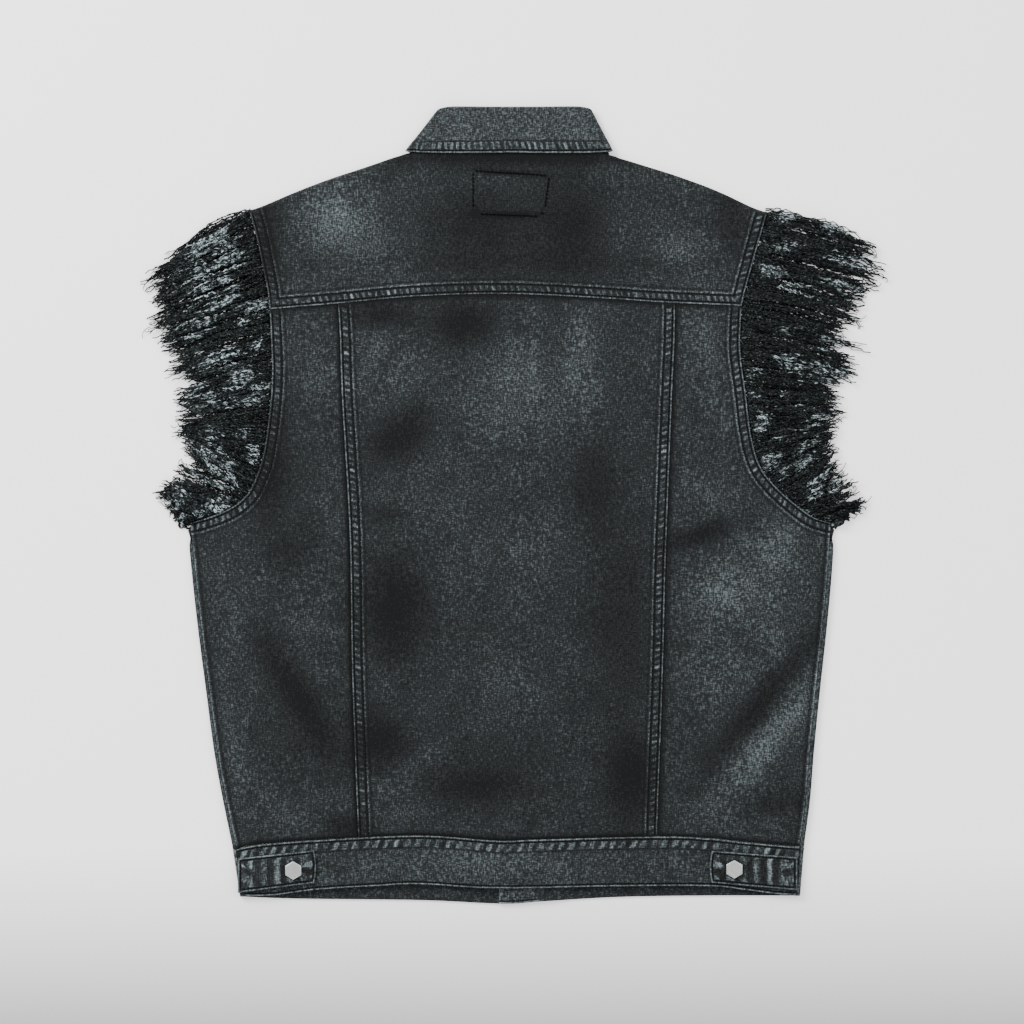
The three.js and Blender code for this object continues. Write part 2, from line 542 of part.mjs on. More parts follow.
// A front piece lies on the surface, wraps round the side fold and ends at the side seam.
// It is laid out as a left piece; sign -1 turns it into a right one.
function frontWall({ sign, grid, height, seamInset, rolled, shoulder }) {
  const cells = grid.map((row) => row.map((cell, column) => {
    const { x, y } = cell.place;
    const middle = height(x * sign, y);
    const flat = (skin) => new THREE.Vector3(x, y, middle - skin);
    const weight = rolled(row[0]);
    if (column >= ROLL.length || weight === 0) return { outer: flat(HALF), inner: flat(-HALF) };
    const edgeX = row[0].place.x;
    const radius = (backHeight((edgeX + seamInset) * sign, row[0].place.y) - FLOOR_PLY) / 2;
    const centre = edgeX + radius + HALF;
    const straight = column === 0 ? Math.max(ROLL_END, seamInset - SEAM_GAP - radius - HALF) : 0;
    const turn = radians(ROLL[column] * weight);
    const turned = (skin) => new THREE.Vector3(
      centre - (radius + skin) * Math.sin(turn) - straight * Math.cos(turn),
      row[0].place.y,
      FLOOR_PLY + radius - (radius + skin) * Math.cos(turn) + straight * Math.sin(turn),
    );
    return { outer: turned(HALF), inner: turned(-HALF) };
  }));
  if (shoulder) {
    const slope = grid.at(-1).map((cell) => ({ place: cell.place.clone() }));
    slope.forEach((cell) => { cell.place.x *= sign; });
    const ordered = sign > 0 ? slope : slope.reverse();
    const turned = turnedRows(ordered, height, 1);
    for (const row of turned) {
      const placed = sign > 0 ? row : row.reverse();
      placed.forEach((cell) => { cell.outer.x *= sign; cell.inner.x *= sign; });
      cells.push(placed);
    }
  }
  for (const cell of cells.flat()) {
    cell.outer.x *= sign;
    cell.inner.x *= sign;
  }
  return wallGeometry(cells);
}

function collarSeam(sign) {
  const side = sign < 0 ? COLLAR_SPREAD.left : COLLAR_SPREAD.right;
  return COLLAR_HALF.map((row, index) => collarPlace(row, index, side, 'seam'));
}

// Plan of a place on one of the collar's three lines
function collarPlace(row, index, side, line) {
  const front = Math.max(0, index - COLLAR_SIDE_ROW) / (COLLAR_HALF.length - 1 - COLLAR_SIDE_ROW);
  const spread = { fold: side.top, fall: mix(side.low, 1, front), seam: 1 }[line];
  const x = side.sign * row[`${line}X`] * spread + CLOSING_X * front;
  return new THREE.Vector2(x, row[`${line}Y`]);
}

// Shares of a front's rows, from the waist to the shoulder
const FRONT_UNDERARM = 0.46;
const FRONT_NECK = 0.72;
const UNROLLING = 0.03; // below the arm, where the side fold opens
const FRONT_ROWS = [0, 0.06, 0.12, 0.18, 0.24, 0.3, 0.36, 0.41, 0.44, 0.46, 0.5, 0.55, 0.6, 0.66, 0.72, 0.78,
  0.84, 0.9, 0.95, 1];
const FRONT_EDGE_STOPS = [0, 9];

function makeFront(name, { sign, side, armhole, seamInset }, yokeEdge, innerX, height) {
  const sideLine = smooth(mirrored(side, sign));
  const armLine = smooth(mirrored([...armhole, ...yokeEdge], sign));
  const inset = (share) => {
    const tangent = armLine.getTangentAt(share);
    const inward = new THREE.Vector2(tangent.y, -tangent.x).multiplyScalar(FRONT_ARMHOLE_INSET);
    return armLine.getPointAt(share).add(inward);
  };
  const lower = lineThrough(leftToRight(WAIST_SEAM, sign), SEAM_GAP);
  const upper = lineThrough(leftToRight(NECK_AND_SHOULDERS, sign), -SHOULDER_DEPTH);
  const shoulderX = yokeEdge.at(-1).x * sign + FRONT_ARMHOLE_INSET;
  const underarm = inset(0);
  const seam = collarSeam(-sign).slice(COLLAR_SIDE_ROW + 1, -1).reverse();
  const neckRows = [new THREE.Vector2(innerX * sign, NECK_FRONT_Y)];
  for (const place of seam) {
    neckRows.push(new THREE.Vector2(place.x * sign - NECK_CLEARANCE, place.y - NECK_CLEARANCE));
  }
  neckRows.push(onLine(upper, -NECK_SIDE));
  const neck = new THREE.SplineCurve(neckRows);
  const grid = plan({
    left: (share) => {
      if (share <= FRONT_UNDERARM) {
        const y = mix(lower(side[0].x * sign), underarm.y, share / FRONT_UNDERARM);
        return new THREE.Vector2(sideLine.getPoint(shareAtY(sideLine, y)).x, y);
      }
      if (share === 1) return onLine(upper, shoulderX);
      return inset((share - FRONT_UNDERARM) / (1 - FRONT_UNDERARM));
    },
    right: (share) => {
      if (share > FRONT_NECK) return neck.getPoint((share - FRONT_NECK) / (1 - FRONT_NECK));
      return new THREE.Vector2(innerX * sign, mix(lower(innerX * sign), NECK_FRONT_Y, share / FRONT_NECK));
    },
    lower, upper,
    rows: FRONT_ROWS, startStops: ROLL_STOPS, columns: 7, endStops: FRONT_EDGE_STOPS,
  });
  const rolled = ({ share }) => {
    if (share < FRONT_UNDERARM - UNROLLING) return 1;
    return share < FRONT_UNDERARM ? 0.5 : 0;
  };
  add(name, frontWall({ sign, grid, height, seamInset, rolled, shoulder: true }), DENIM);
  const edge = grid.filter((row) => row[0].share >= FRONT_UNDERARM);
  return edge.map((row) => new THREE.Vector2(row[0].place.x * sign, row[0].place.y));
}

// Waistband, in a back piece and two fronts that wrap round the sides
const WAIST_DEPTH = 40;
const WAIST_FRONT_ROWS = [0, 0.16, 0.34, 0.5, 0.68, 0.86, 1];

function makeWaistbandBack() {
  const { left, right } = SIDES;
  const lower = lineThrough(HEM_BACK);
  const upper = lineThrough(WAIST_SEAM);
  const edge = (low, high, inset) => (share) => new THREE.Vector2(mix(low.x, high.x, share) + inset,
    mix(low.y, high.y, share));
  const grid = plan({
    left: edge(HEM_BACK[0], WAIST_SEAM[0], left.seamInset),
    right: edge(HEM_BACK.at(-1), WAIST_SEAM.at(-1), -right.seamInset),
    lower, upper, rows: stops(WAIST_DEPTH, PLAIN, 3, FELL_STOPS), columns: 24, level: true,
  });
  const raised = (cell) => ((1 - cell.share) * WAIST_DEPTH < FELL_WIDTH ? FELL_RISE : 0);
  add('waistband_back', lyingWall(grid, backHeight, raised), DENIM_LIGHT);
}

function makeWaistbandFront(name, { sign, seamInset }, end, innerX, height) {
  const [low, high] = [end[0].x, end.at(-1).x].map((x) => x * sign);
  const overlap = PLACKET.right - PLACKET.left;
  const grid = plan({
    left: (share) => new THREE.Vector2(mix(low, high, share), mix(end[0].y, end.at(-1).y, share)),
    right: (share) => new THREE.Vector2(innerX * sign, mix(end[0].y, end.at(-1).y, share)),
    lower: lineThrough(leftToRight(HEM_FRONT, sign)), upper: lineThrough(leftToRight(WAIST_SEAM, sign)),
    rows: WAIST_FRONT_ROWS, startStops: ROLL_STOPS, columns: 8, level: true,
    endStops: [0, 7.1, 15.1, overlap - 15.1, overlap - 7.1, overlap, overlap + RAMP / 2, overlap + RAMP],
  });
  add(name, frontWall({ sign, grid, height, seamInset, rolled: () => 1, shoulder: false }), DENIM_LIGHT);
}

const ROWS_ROUND_A_BUTTON = [-24, -11, 11, 24];

// The doubled front edges, one lying on the other over the closing buttons
function makePlacket(name, height) {
  const lower = lineThrough(WAIST_SEAM, SEAM_GAP);
  const lowY = lower(CLOSING_X);
  const shares = [0];
  for (const row of BUTTON_ROWS.slice(1)) {
    for (const step of ROWS_ROUND_A_BUTTON) shares.push((row + step - lowY) / (PLACKET.top - lowY));
  }
  const rows = [...shares.filter((share) => share < 0.99), 1];
  const edge = (x) => (share) => new THREE.Vector2(x, mix(lower(x), PLACKET.top, share));
  const grid = plan({
    left: edge(PLACKET.left), right: edge(PLACKET.right),
    lower, upper: () => PLACKET.top, rows, columns: 4, level: true,
  });
  add(name, lyingWall(grid, height), DENIM);
}

// Collar: the fall that shows, its turned top and the stand under it, in one piece round the neck
const COLLAR_FALL_SHARES = [0, 0.23, 0.29, 0.64, 1];
const COLLAR_TURNS = [60, 120, 180];
const COLLAR_STAND_SHARES = [0.5, 1];
const COLLAR_BAND_SHARE = 0.25; // raised hem of the fall

function makeCollar() {
  const half = (side) => COLLAR_HALF.map((row, index) => ({
    fold: collarPlace(row, index, side, 'fold'),
    fall: collarPlace(row, index, side, 'fall'),
    seam: collarPlace(row, index, side, 'seam'),
    turn: radians(row.turn), sign: side.sign,
  }));
  const stations = [...half(COLLAR_SPREAD.left).reverse(), ...half(COLLAR_SPREAD.right).slice(1)];
  const placed = (station, place, radial) => new THREE.Vector3(
    place.x + station.sign * radial * Math.sin(station.turn),
    place.y,
    FALL.middle + radial * Math.cos(station.turn),
  );
  const cells = [];
  for (const share of COLLAR_FALL_SHARES) {
    cells.push(stations.map((station) => {
      const place = station.fall.clone().lerp(station.fold, share);
      const band = share < COLLAR_BAND_SHARE && station.turn < 1 ? FALL.band : 0;
      return {
        outer: placed(station, place, FALL.radius + HALF + band),
        inner: placed(station, place, FALL.radius - HALF),
      };
    }));
  }
  for (const turn of COLLAR_TURNS) {
    cells.push(stations.map((station) => {
      const out = station.fold.clone().sub(station.fall).normalize();
      const skin = (thickness) => {
        const around = FALL.ply / 2 + thickness;
        const place = station.fold.clone().addScaledVector(out, around * Math.sin(radians(turn)));
        return placed(station, place, FALL.radius - FALL.ply / 2 + around * Math.cos(radians(turn)));
      };
      return { outer: skin(HALF), inner: skin(-HALF) };
    }));
  }
  for (const share of COLLAR_STAND_SHARES) {
    cells.push(stations.map((station) => {
      const place = station.fold.clone().lerp(station.seam, share);
      return {
        outer: placed(station, place, FALL.radius - FALL.ply - HALF),
        inner: placed(station, place, FALL.radius - FALL.ply + HALF),
      };
    }));
  }
  add('collar', wallGeometry(cells), DENIM_LIGHT);
}

// Tabs that draw in the waist, each from its side seam to a button
const tabSeat = (x, y) => backHeight(x, y) + HALF + FELL_RISE + SEAM_GAP;

function makeTab(name, tab) {
  const side = (share) => new THREE.Vector2(tab.sideX, mix(tab.sideLow, tab.sideTop, share));
  const away = Math.sign(tab.sideX - tab.endX);
  const end = (share) => {
    const point = TAB.point * Math.sin(Math.PI * share) * away;
    return new THREE.Vector2(tab.endX - point, mix(tab.endLow, tab.endTop, share));
  };
  const [left, right] = away < 0 ? [side, end] : [end, side];
  const slope = (share) => (x) => {
    const [from, to] = [left(share), right(share)];
    return mix(from.y, to.y, (x - from.x) / (to.x - from.x));
  };
  const grid = plan({
    left, right, lower: slope(0), upper: slope(1), rows: stops(1, PLAIN, 4, PLAIN), columns: 7,
  });
  const cells = grid.map((row) => row.map(({ place }) => {
    const seat = tabSeat(place.x, place.y);
    const outer = new THREE.Vector3(place.x, place.y, seat + TAB.thickness);
    return { outer, inner: new THREE.Vector3(place.x, place.y, seat) };
  }));
  add(name, wallGeometry(cells), DENIM_LIGHT);
}

// A turned disc that lies on the plane z = 0, with its upper or lower rim eased
function disc({ radius, height, bevel }, sides, easedBelow) {
  const low = easedBelow ? bevel : 0;
  const shoulder = easedBelow ? height : height - bevel;
  const top = easedBelow ? radius : radius - bevel;
  const profile = [
    [0, 0], [radius - low, 0], [radius, low || height - bevel],
    [radius, shoulder], [top, height], [0, height],
  ];
  const points = [];
  for (const [x, y] of profile) {
    const before = points.at(-1);
    if (!before || before.x !== x || before.y !== y) points.push(new THREE.Vector2(x, y));
  }
  return new THREE.LatheGeometry(points, sides).rotateX(Math.PI / 2);
}

function makeButtons() {
  for (const button of TAB_BUTTONS) {
    const geometry = disc(TAB_BUTTON, TAB_BUTTON.sides, false);
    const mesh = add(button.name, geometry, SATIN_STEEL);
    const height = tabSeat(button.x, button.y) + TAB.thickness + SEAM_GAP + TAB_BUTTON.lift;
    mesh.position.set(button.x, button.y, height);
  }
  BUTTON_ROWS.forEach((row, index) => {
    const mesh = add(`front_button_${index + 1}`, disc(BUTTON, BUTTON_SIDES, true), SATIN_STEEL);
    mesh.position.set(CLOSING_X, row, 0);
  });
}

// Fringe: strands of yarn rooted in a narrow strip just outside an armhole edge
function solidOf(geometry) {
  const mesh = new wasm.Mesh({
    numProp: 3,
    vertProperties: new Float32Array(geometry.attributes.position.array),
    triVerts: new Uint32Array(geometry.index.array),
  });
  return new wasm.Manifold(mesh);
}

function geometryOf(solid) {
  const mesh = solid.getMesh();
  const geometry = new THREE.BufferGeometry();
  geometry.setAttribute('position', new THREE.BufferAttribute(new Float32Array(mesh.vertProperties), 3));
  geometry.setIndex(new THREE.BufferAttribute(new Uint32Array(mesh.triVerts), 1));
  return geometry;
}

// An uneven number from 0 to 1 for a strand of one of the fringes
const SCATTER = { index: 12.9898, seed: 78.233, size: 43758.5453 };
const unevenness = (index, seed) => {
  const value = Math.sin(index * SCATTER.index + seed * SCATTER.seed) * SCATTER.size;
  return value - Math.floor(value);
};

function tipAt(rows, along) {
  let index = 0;
  while (index < rows.length - 2 && rows[index + 1].along < along) index += 1;
  const [from, to] = [rows[index], rows[index + 1]];
  const share = (along - from.along) / (to.along - from.along);
  return new THREE.Vector2(mix(from.x, to.x, share), mix(from.y, to.y, share));
}

const STRAND_SHARES = [0, 0.16, 0.56, 1];
const STRAND_SIDES = 3;
const SWAY = { width: 2, along: 5, step: 0.35 };
const STRAND_DROP = 0.3; // share at which a strand begins to sink to its end
const STRAND_TAPER = { root: 0.5, tip: 0.45 };

function strand(root, tip, layer, index) {
  const flow = tip.clone().sub(root);
  const across2 = new THREE.Vector2(-flow.y, flow.x).normalize();
  const level = layer.heights[index % 2];
  const end = layer.tips[index % 2];
  const positions = [];
  const faces = [];
  STRAND_SHARES.forEach((share, ring) => {
    const sway = SWAY.width * Math.sin(share * SWAY.along + index * SWAY.step) * share;
    const middle = root.clone().addScaledVector(flow, share).addScaledVector(across2, sway);
    const risen = mix(layer.root, level, ease(share / STRAND_SHARES[1]));
    const z = share < 0.5 ? risen : mix(level, end, (share - STRAND_DROP) / (1 - STRAND_DROP));
    const radius = layer.radius * mix(1, STRAND_TAPER.tip, share) * (ring === 0 ? STRAND_TAPER.root : 1);
    for (let side = 0; side < STRAND_SIDES; side += 1) {
      const angle = radians(90 + (side * 360) / STRAND_SIDES);
      const out = across2.clone().multiplyScalar(radius * Math.cos(angle));
      positions.push(middle.x + out.x, middle.y + out.y, z + radius * Math.sin(angle));
    }
  });
  for (let ring = 0; ring < STRAND_SHARES.length - 1; ring += 1) {
    for (let side = 0; side < STRAND_SIDES; side += 1) {
      const a = ring * STRAND_SIDES + side;
      const b = ring * STRAND_SIDES + ((side + 1) % STRAND_SIDES);
      faces.push(a, b, b + STRAND_SIDES, a, b + STRAND_SIDES, a + STRAND_SIDES);
    }
  }
  const last = (STRAND_SHARES.length - 1) * STRAND_SIDES;
  faces.push(0, 2, 1, last, last + 1, last + 2);
  return facingOut(positions, faces);
}

// An edge moved sideways by the same distance all along
function shifted(edge, distance) {
  return edge.map((place, index) => {
    const before = edge[Math.max(index - 1, 0)];
    const after = edge[Math.min(index + 1, edge.length - 1)];
    const first = place.clone().sub(before).normalize();
    const second = after.clone().sub(place).normalize();
    const along = first.add(second).normalize();
    return place.clone().add(new THREE.Vector2(-along.y, along.x).multiplyScalar(distance));
  });
}

function alongEdge(edge, wholeShare) {
  const lengths = [0];
  edge.slice(1).forEach((place, index) => lengths.push(lengths[index] + place.distanceTo(edge[index])));
  const wanted = lengths.at(-1) * wholeShare;
  let index = 0;
  while (index < edge.length - 2 && lengths[index + 1] < wanted) index += 1;
  const share = (wanted - lengths[index]) / (lengths[index + 1] - lengths[index]);
  return edge[index].clone().lerp(edge[index + 1], share);
}

// edge runs from the underarm to the shoulder
function makeFringe(name, sign, edge, tips, layer) {
  const near = shifted(edge, FRINGE_STRIP.gap * sign);
  const far = shifted(edge, (FRINGE_STRIP.gap + FRINGE_STRIP.width) * sign);
  const ends = near.map((place, index) => [place, far[index]]);
  ends[0].forEach((place, index) => place.lerp(ends[1][index], FRINGE_STRIP.startTrim));
  const [nextToLast, last] = ends.slice(-2);
  last.forEach((place, index) => place.lerp(nextToLast[index], FRINGE_STRIP.endTrim));
  const strip = ends.map((pair) => pair.map(({ x, y }) => ({
    outer: new THREE.Vector3(x, y, layer.root + layer.depth / 2),
    inner: new THREE.Vector3(x, y, layer.root - layer.depth / 2),
  })));
  let solid = solidOf(wallGeometry(strip));
  const middle = ends.map(([from, to]) => from.clone().lerp(to, ROOTS.across));
  for (let index = 0; index < layer.strands; index += 1) {
    const along = (index + 0.5) / layer.strands;
    const root = alongEdge(middle, mix(ROOTS.first, ROOTS.last, along));
    const reach = layer.reach * (STRAND_REACH.least + STRAND_REACH.spread * unevenness(index, sign));
    const tip = root.clone().lerp(tipAt(tips, along), reach);
    solid = solid.add(solidOf(strand(root, tip, layer, index)));
  }
  add(name, geometryOf(solid), YARN);
}

const yokeEdges = makeYoke();
makeCentre();
makePlacket('placket_over', overHeight);
makePlacket('placket_under', underHeight);
makeWaistbandBack();
makeWaistbandFront('waistband_front_left', SIDES.left, WAIST_END_LEFT, PLACKET.right, overHeight);
makeWaistbandFront('waistband_front_right', SIDES.right, WAIST_END_RIGHT, PLACKET.left, (x, y) =>
  overHeight(x, y) + WAIST_PLY_STEP * ease((PLACKET.right + RAMP - x) / RAMP));
makeCollar();
makeTab('tab_left', TAB_LEFT);
makeTab('tab_right', TAB_RIGHT);
makeButtons();

const HALVES = [
  {
    side: 'left', shoulder: ARMHOLE_LEFT_YOKE, innerX: PLACKET.left - SEAM_GAP,
    height: frontLeftHeight, tips: FRINGE_LEFT,
  },
  {
    side: 'right', shoulder: ARMHOLE_RIGHT_YOKE, innerX: PLACKET.right + SEAM_GAP,
    height: frontRightHeight, tips: FRINGE_RIGHT,
  },
];
for (const { side, shoulder, innerX, height, tips } of HALVES) {
  const { sign } = SIDES[side];
  const backEdge = [...makeSide(`back_side_${side}`, SIDES[side]).slice(0, -1), ...yokeEdges[side]];
  const frontEdge = makeFront(`front_${side}`, SIDES[side], shoulder, innerX, height);
  makeFringe(`fringe_back_${side}`, sign, backEdge, tips, FRINGE_LAYERS.back);
  makeFringe(`fringe_front_${side}`, sign, frontEdge, tips, FRINGE_LAYERS.front);
}

export default vest;
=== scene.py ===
"""The looks of a fringed denim vest that lies face down on a flat surface.

Tables and shapes are in millimetres, and meshes are written in metres. +Z is up off the surface,
+Y runs from the hem to the collar, and +X is to the right as seen from above.
"""
import math

import bpy
import numpy as np
from bpy.props import FloatProperty, FloatVectorProperty, IntProperty, PointerProperty
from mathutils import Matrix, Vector


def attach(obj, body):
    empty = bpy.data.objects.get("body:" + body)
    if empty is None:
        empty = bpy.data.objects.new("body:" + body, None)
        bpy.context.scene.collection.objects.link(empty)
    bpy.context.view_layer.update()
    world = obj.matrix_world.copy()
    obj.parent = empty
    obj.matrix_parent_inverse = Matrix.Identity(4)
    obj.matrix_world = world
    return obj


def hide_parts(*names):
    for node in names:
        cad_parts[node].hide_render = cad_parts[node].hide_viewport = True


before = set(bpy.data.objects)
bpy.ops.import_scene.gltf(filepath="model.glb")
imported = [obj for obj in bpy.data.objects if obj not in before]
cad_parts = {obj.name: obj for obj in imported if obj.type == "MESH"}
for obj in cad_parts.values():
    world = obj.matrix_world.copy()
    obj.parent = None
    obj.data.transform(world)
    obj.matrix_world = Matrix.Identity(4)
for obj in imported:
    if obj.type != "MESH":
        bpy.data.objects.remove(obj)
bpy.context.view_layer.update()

bl_info = {
    "name": "Fringed denim vest",
    "version": (1, 0, 0),
    "blender": (4, 5, 0),
    "location": "3D View > Sidebar > Vest",
    "description": "Cloth, sewing, fringe and buttons of a denim vest laid flat",
    "category": "Object",
}

MM = 0.001

# Cloth and sewing, as on the solids
HALF = 0.6  # half of one ply
SEAM_GAP = 0.3  # between pieces that meet at a seam
FELL_RISE = 0.9  # extra height of a felled seam
FLOOR_PLY = HALF  # middle of the ply that lies on the floor
BACK_EDGE = 3.8  # middle of the back's ply at the sides
BACK_CROWN = 1.0  # how much higher it is in the middle of the back
PLACKET_CROWN = 1.4  # and how much more over the closing
PLACKET_RISE_WIDTH = 48
HALF_GIRTH = 275
PLY_STEP = 1.5  # from the middle of one ply to the middle of the next
WAIST_PLY_STEP = 1.8
NO_SEAM = 60.0  # distance to a seam that is too far off to show

# Front closing
PLACKET_LEFT, PLACKET_RIGHT, PLACKET_TOP = -12.3, 26.8, 212
CLOSING_X = (PLACKET_LEFT + PLACKET_RIGHT) / 2
BUTTON_RADIUS, BUTTON_LIFT, BUTTON_LEVEL, BUTTON_TENT = 8.5, 1.8, 7, 20
BUTTON_ROWS = [-311, -208, -107, -6, 95, 192]
CLOSING_BUTTON = (BUTTON_RADIUS - 0.2, 1.2, 24)  # radius, height and sides
CLOSING_BUTTON_LOW = 0.22
RAMP = 26  # width over which a ply comes down beside the closing

# Edges of the pieces, each a smooth line through places (x, y)
NECK_AND_SHOULDERS = [
    (-224.8, 250.3), (-211.2, 254.8), (-181.5, 267.3), (-147.5, 280.1), (-118, 290.2), (-93.9, 298),
    (-72, 300.6), (-36, 301.8), (0, 302), (36, 301.8), (68, 300), (87.1, 296), (112, 288.6),
    (141.5, 279.2), (175.5, 265.6), (201, 253.6), (215.5, 248.6),
]
YOKE_SEAM = [(-207.3, 166.2), (-154.3, 170.6), (-79.5, 177.2), (-3, 179), (73.5, 175.5), (125.4, 172.1),
             (193.8, 169.2)]
ARMHOLE_LEFT = [(-277.5, -14.9), (-256.3, -8.9), (-239.3, -1.3), (-226.1, 9.8), (-218, 25.9), (-212.1, 45.5),
                (-207, 82.9), (-205.3, 107.5), (-205.3, 123.7), (-207.2, 165.6)]
ARMHOLE_LEFT_YOKE = [(-207.3, 166.2), (-209.2, 183), (-213.8, 206.1), (-219, 230), (-224.8, 250.3)]
ARMHOLE_RIGHT = [(273.3, -14.9), (255.4, -9.8), (239.3, 1.3), (222.3, 16.6), (209.1, 34.4), (201.5, 61.6),
                 (197.2, 96.5), (193.4, 123.7), (192.5, 140), (193.7, 168.6)]
ARMHOLE_RIGHT_YOKE = [(193.8, 169.2), (197, 183), (204.4, 209.5), (211.2, 233.3), (215.5, 248.6)]
SIDE_LEFT = [(-238.4, -291.5), (-247.8, -246.1), (-254.6, -207.8), (-261.4, -156.8), (-268, -106),
             (-272.5, -66), (-277.5, -14.9)]
SIDE_RIGHT = [(246.9, -288), (252, -250), (255.4, -207.8), (260.5, -156.8), (265.6, -110), (269.8, -66),
              (273.3, -14.9)]
PRINCESS_LEFT = [(-131.5, -281.6), (-132.7, -265.6), (-137.3, -138), (-139.3, -24.2), (-145.8, 91.4),
                 (-147.5, 140.7), (-149.2, 170.5)]
PRINCESS_RIGHT = [(122.6, -280.2), (122.5, -265.6), (127.1, -138), (129.4, -47.2), (134.7, 91.4),
                  (136.9, 140.7), (137.3, 171.2)]
WAIST_SEAM = [(-238.4, -292.6), (-213.8, -287.7), (-157.7, -283.5), (-79.5, -280.1), (-14.5, -284.3),
              (18.3, -283.5), (122.8, -280.9), (166.2, -282.6), (198.5, -286), (246.9, -290.3)]
HEM_BACK = [(-232.5, -331.6), (-205, -331.2), (-167, -326.4), (-119.4, -323.4), (-79.5, -321.7),
            (-14.5, -325.1), (90.5, -323.4), (166.2, -323.4), (198.5, -326.8), (224.8, -330.2),
            (243.5, -330.9)]
HEM_FRONT = [(-232.5, -332.2), (-184.9, -334), (-79.5, -335.3), (-9.8, -338.3), (25.9, -336.2),
             (90.5, -332.6), (166.2, -331.4), (243.5, -331.5)]
WAIST_END_LEFT = [(-232.5, -331.6), (-236.6, -312), (-238.4, -292.6)]
WAIST_END_RIGHT = [(243.5, -330.9), (246, -312), (246.9, -290.3)]

# Creases pressed into the cloth: middle x, y, angle in degrees, half length, half width, height
CREASES = [
    (-232, -60, 62, 60, 13, 0.7), (-196, -150, 70, 75, 16, -0.6), (-178, 30, 78, 70, 14, 0.5),
    (-215, -235, 40, 45, 12, 0.6), (-96, 60, 50, 80, 17, 0.6), (-60, -90, 118, 90, 18, -0.5),
    (-20, 40, 66, 95, 16, -0.6), (42, -30, 112, 85, 18, 0.6), (86, 70, 128, 70, 14, 0.5),
    (70, -200, 60, 75, 18, 0.5), (-70, -215, 130, 70, 17, 0.6), (176, 20, 108, 75, 15, 0.6),
    (214, -70, 122, 70, 14, -0.6), (188, -170, 58, 80, 17, 0.7), (222, -235, 128, 45, 12, 0.5),
    (-130, 232, 18, 60, 16, 0.5), (118, 226, 160, 62, 16, 0.5),
]

# Shorter and sharper creases between them
WRINKLES = [
    (-118, 130, 62, 34, 5, 0.5), (-104, 118, 58, 30, 5, -0.3), (-30, 148, 84, 26, 6, 0.4),
    (18, 120, 97, 40, 6, 0.4), (60, 140, 112, 30, 5, 0.45), (104, 128, 120, 28, 5, 0.4),
    (-112, 6, 70, 42, 6, 0.45), (-84, -30, 58, 36, 5, -0.3), (92, -70, 118, 46, 6, 0.45),
    (74, -104, 128, 36, 5, -0.3), (-106, -160, 112, 40, 6, 0.45), (-24, -170, 76, 44, 7, 0.4),
    (30, -236, 12, 50, 7, 0.45), (-88, -262, 8, 46, 6, 0.5), (96, -258, 172, 40, 6, 0.5),
    (-30, -262, 176, 50, 6, -0.3), (-170, 128, 82, 40, 6, 0.45), (-186, 92, 74, 36, 5, -0.3),
    (-160, -34, 66, 44, 6, 0.5), (-236, -104, 74, 40, 6, 0.55), (-208, -30, 48, 40, 6, 0.55),
    (-226, -186, 82, 44, 6, 0.5), (-160, -250, 20, 40, 6, 0.5), (-196, -266, 172, 34, 5, 0.5),
    (168, 132, 98, 38, 6, 0.45), (158, 76, 108, 38, 5, -0.3), (196, -24, 134, 42, 6, 0.55),
    (236, -52, 128, 36, 6, 0.5), (232, -140, 104, 48, 6, 0.55), (160, -110, 66, 44, 6, 0.45),
    (206, -222, 112, 40, 6, 0.5), (156, -256, 166, 36, 6, 0.5), (224, -268, 10, 30, 5, 0.5),
    (-176, 214, 34, 36, 6, 0.4), (-70, 268, 8, 40, 6, 0.35), (76, 258, 170, 40, 6, 0.35),
    (168, 220, 146, 34, 6, 0.4), (-186, 188, 20, 34, 6, 0.35), (150, 188, 164, 34, 6, 0.35),
]

